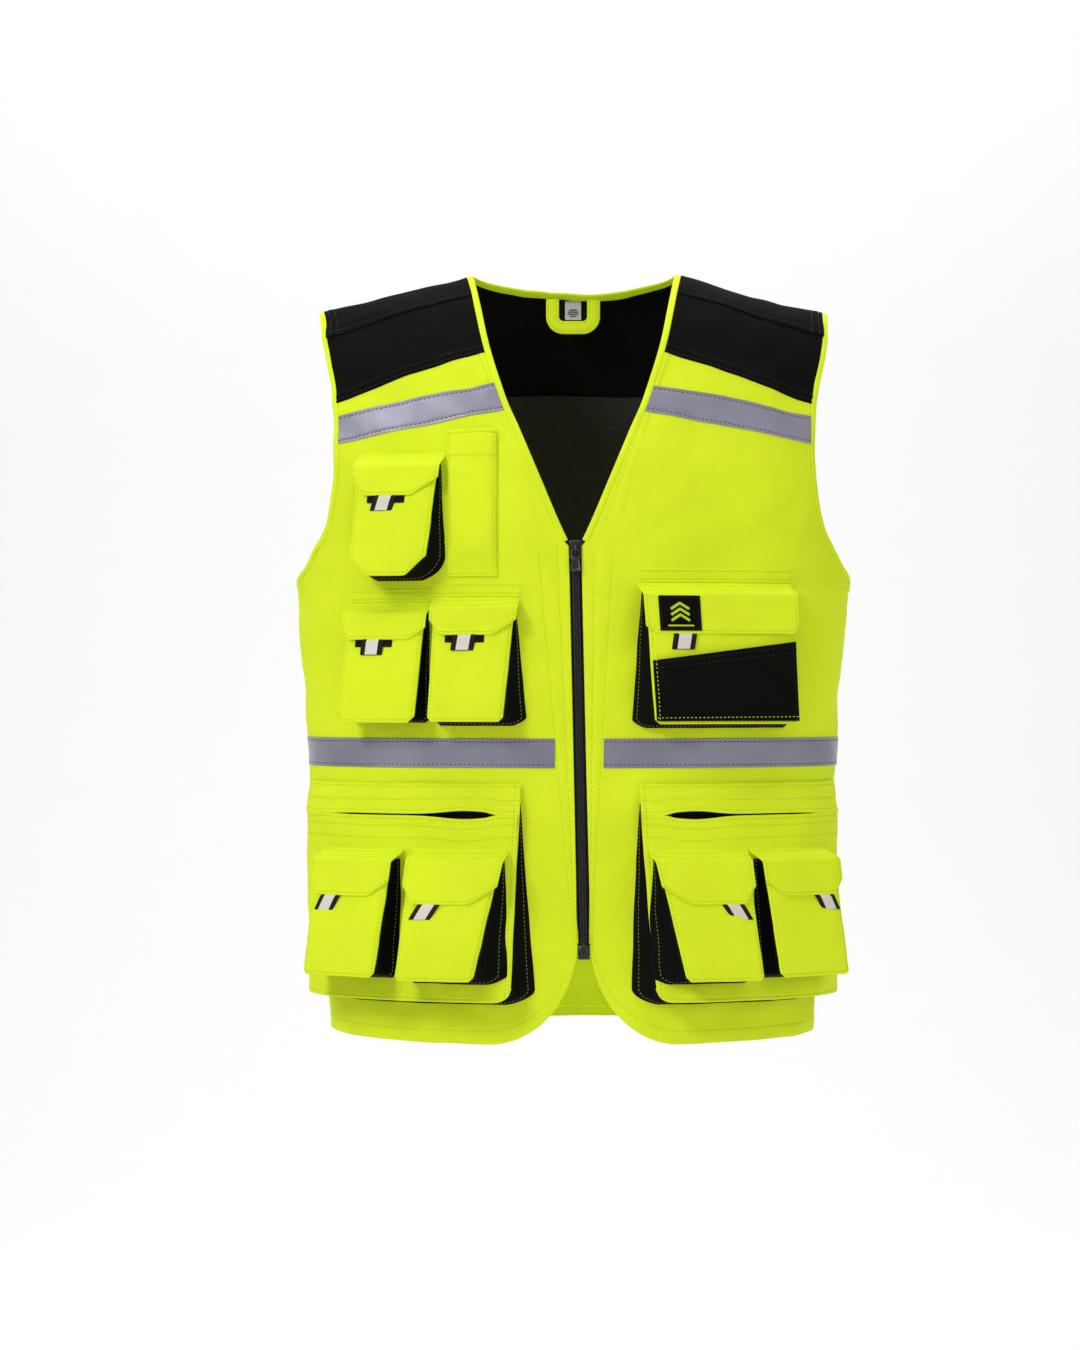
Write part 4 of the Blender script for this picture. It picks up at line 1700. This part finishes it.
# Each pocket's hinge, nodes, flap body, whether it sits on a cargo pocket, how far its zip side and far side
# swing outwards going down, whether a hook-and-loop bar shows, and its tab's lean.
POCKETS = {
    "phone": ("phone_flap_lift", "phone_pocket", "phone_flap", False, (0.07, 0.03), True, 0.28),
    "mid_outer": ("mid_outer_flap_lift", "mid_outer_pocket", "mid_outer_flap", False,
                  (0.05, 0.04), True, 0.1),
    "mid_inner": ("mid_inner_flap_lift", "mid_inner_pocket", "mid_inner_flap", False,
                  (0.09, 0.04), True, 0.12),
    "document": ("document_flap_lift", "document_pocket", "document_flap", False, (0.05, 0.02), False, -0.2),
}
for where in ("right_inner", "right_outer", "left_inner", "left_outer"):
    swing = (0.20, 0.09) if "inner" in where else (0.04, 0.0)
    names = (f"cargo_{where}_flap_lift", f"cargo_{where}_pocket", f"cargo_{where}_flap")
    POCKETS[where] = (*names, True, swing, False, 0.55)

for key, (joint, prefix, flap_body, on_cargo, swing, bar, tab_lean) in POCKETS.items():
    pocket = Sewn(joint, prefix, on_cargo, swing)
    front = FRONT[pocket.side]
    pocket_face(pocket, prefix, bar).build(front, [prefix + "_face"], YELLOW_SLOT)
    pocket_gusset(pocket, prefix).build(front, [prefix + "_gusset"], "black_cloth")
    flap, shape = pocket_flap(pocket, prefix, tab_lean)
    flap.build(flap_body, [prefix + "_flap"], YELLOW_SLOT)
    if key == "document":
        label_patch(pocket, shape).build(flap_body, ["label_patch"], "black_cloth")
        overlay_pocket(pocket).build(front, ["document_overlay_pocket"], "black_cloth")
        edge = pocket.half + 2
        band = sewn_band(pocket, "document_pocket_top_band", 419.0, 430.5, -edge, edge)
        band.build(front, slot=YELLOW_SLOT)
    if key.startswith("mid"):
        low = pocket.hinge + 1.0
        edge = pocket.half + 3
        band = sewn_band(pocket, f"{prefix}_top_band", low, low + 11.5, -edge, edge)
        band.build(front, slot=YELLOW_SLOT)


# ---- Studio ----

pale = Shader("pale_studio_floor", Roughness=0.9)
pale.surface.inputs["Base Color"].default_value = (0.93, 0.93, 0.93, 1)
profile = [(-6.0, -1.3), (2.2, -1.3)]
profile += [(2.2 + 1.6 * math.sin(a), 0.3 - 1.6 * math.cos(a)) for a in np.linspace(0, QUARTER, 14)[1:]]
profile += [(3.8, 5.0)]
sweep = bpy.data.meshes.new("studio_sweep")
points = [(x, y, z) for y, z in profile for x in (-7.0, 7.0)]
sweep.from_pydata(points, [], [(2 * k, 2 * k + 1, 2 * k + 3, 2 * k + 2) for k in range(len(profile) - 1)])
sweep.materials.append(pale.material)
sweep.polygons.foreach_set("use_smooth", [True] * len(sweep.polygons))
backdrop = bpy.data.objects.new("studio_sweep", sweep)
bpy.context.scene.collection.objects.link(backdrop)

scene = bpy.context.scene
scene.view_settings.view_transform = "Standard"
scene.view_settings.look = "None"
world = bpy.data.worlds.new("studio")
scene.world = world
world.use_nodes = True
world.node_tree.nodes["Background"].inputs["Color"].default_value = (1, 1, 1, 1)
world.node_tree.nodes["Background"].inputs["Strength"].default_value = 0.30


def soft_light(name, where, aim, size, power):
    light = bpy.data.lights.new(name, "AREA")
    light.shape = "RECTANGLE"
    light.size, light.size_y = size
    light.energy = power
    thing = bpy.data.objects.new(name, light)
    thing.location = where
    thing.rotation_euler = (Vector(aim) - Vector(where)).to_track_quat("-Z", "Y").to_euler()
    scene.collection.objects.link(thing)


TARGET = (0.0, 0.0, -0.36)
soft_light("key_light", (-1.9, -1.9, 1.5), TARGET, (0.8, 0.9), 45)
soft_light("fill_light", (2.1, -2.2, 0.2), TARGET, (1.6, 2.2), 15)
soft_light("top_light", (0.0, -0.5, 2.0), TARGET, (1.6, 1.6), 17)
soft_light("back_light", (0.9, 2.0, 1.2), TARGET, (1.4, 1.4), 4)
soft_light("backdrop_light", (0.0, 1.2, 3.2), (0.0, 3.6, -0.6), (5.0, 1.5), 110)

camera = bpy.data.objects.new("camera", bpy.data.cameras.new("camera"))
camera.data.lens = 85
camera.location = (-0.0315, -3.0, -0.374)
camera.rotation_euler = (QUARTER, 0, 0)
scene.collection.objects.link(camera)
scene.camera = camera
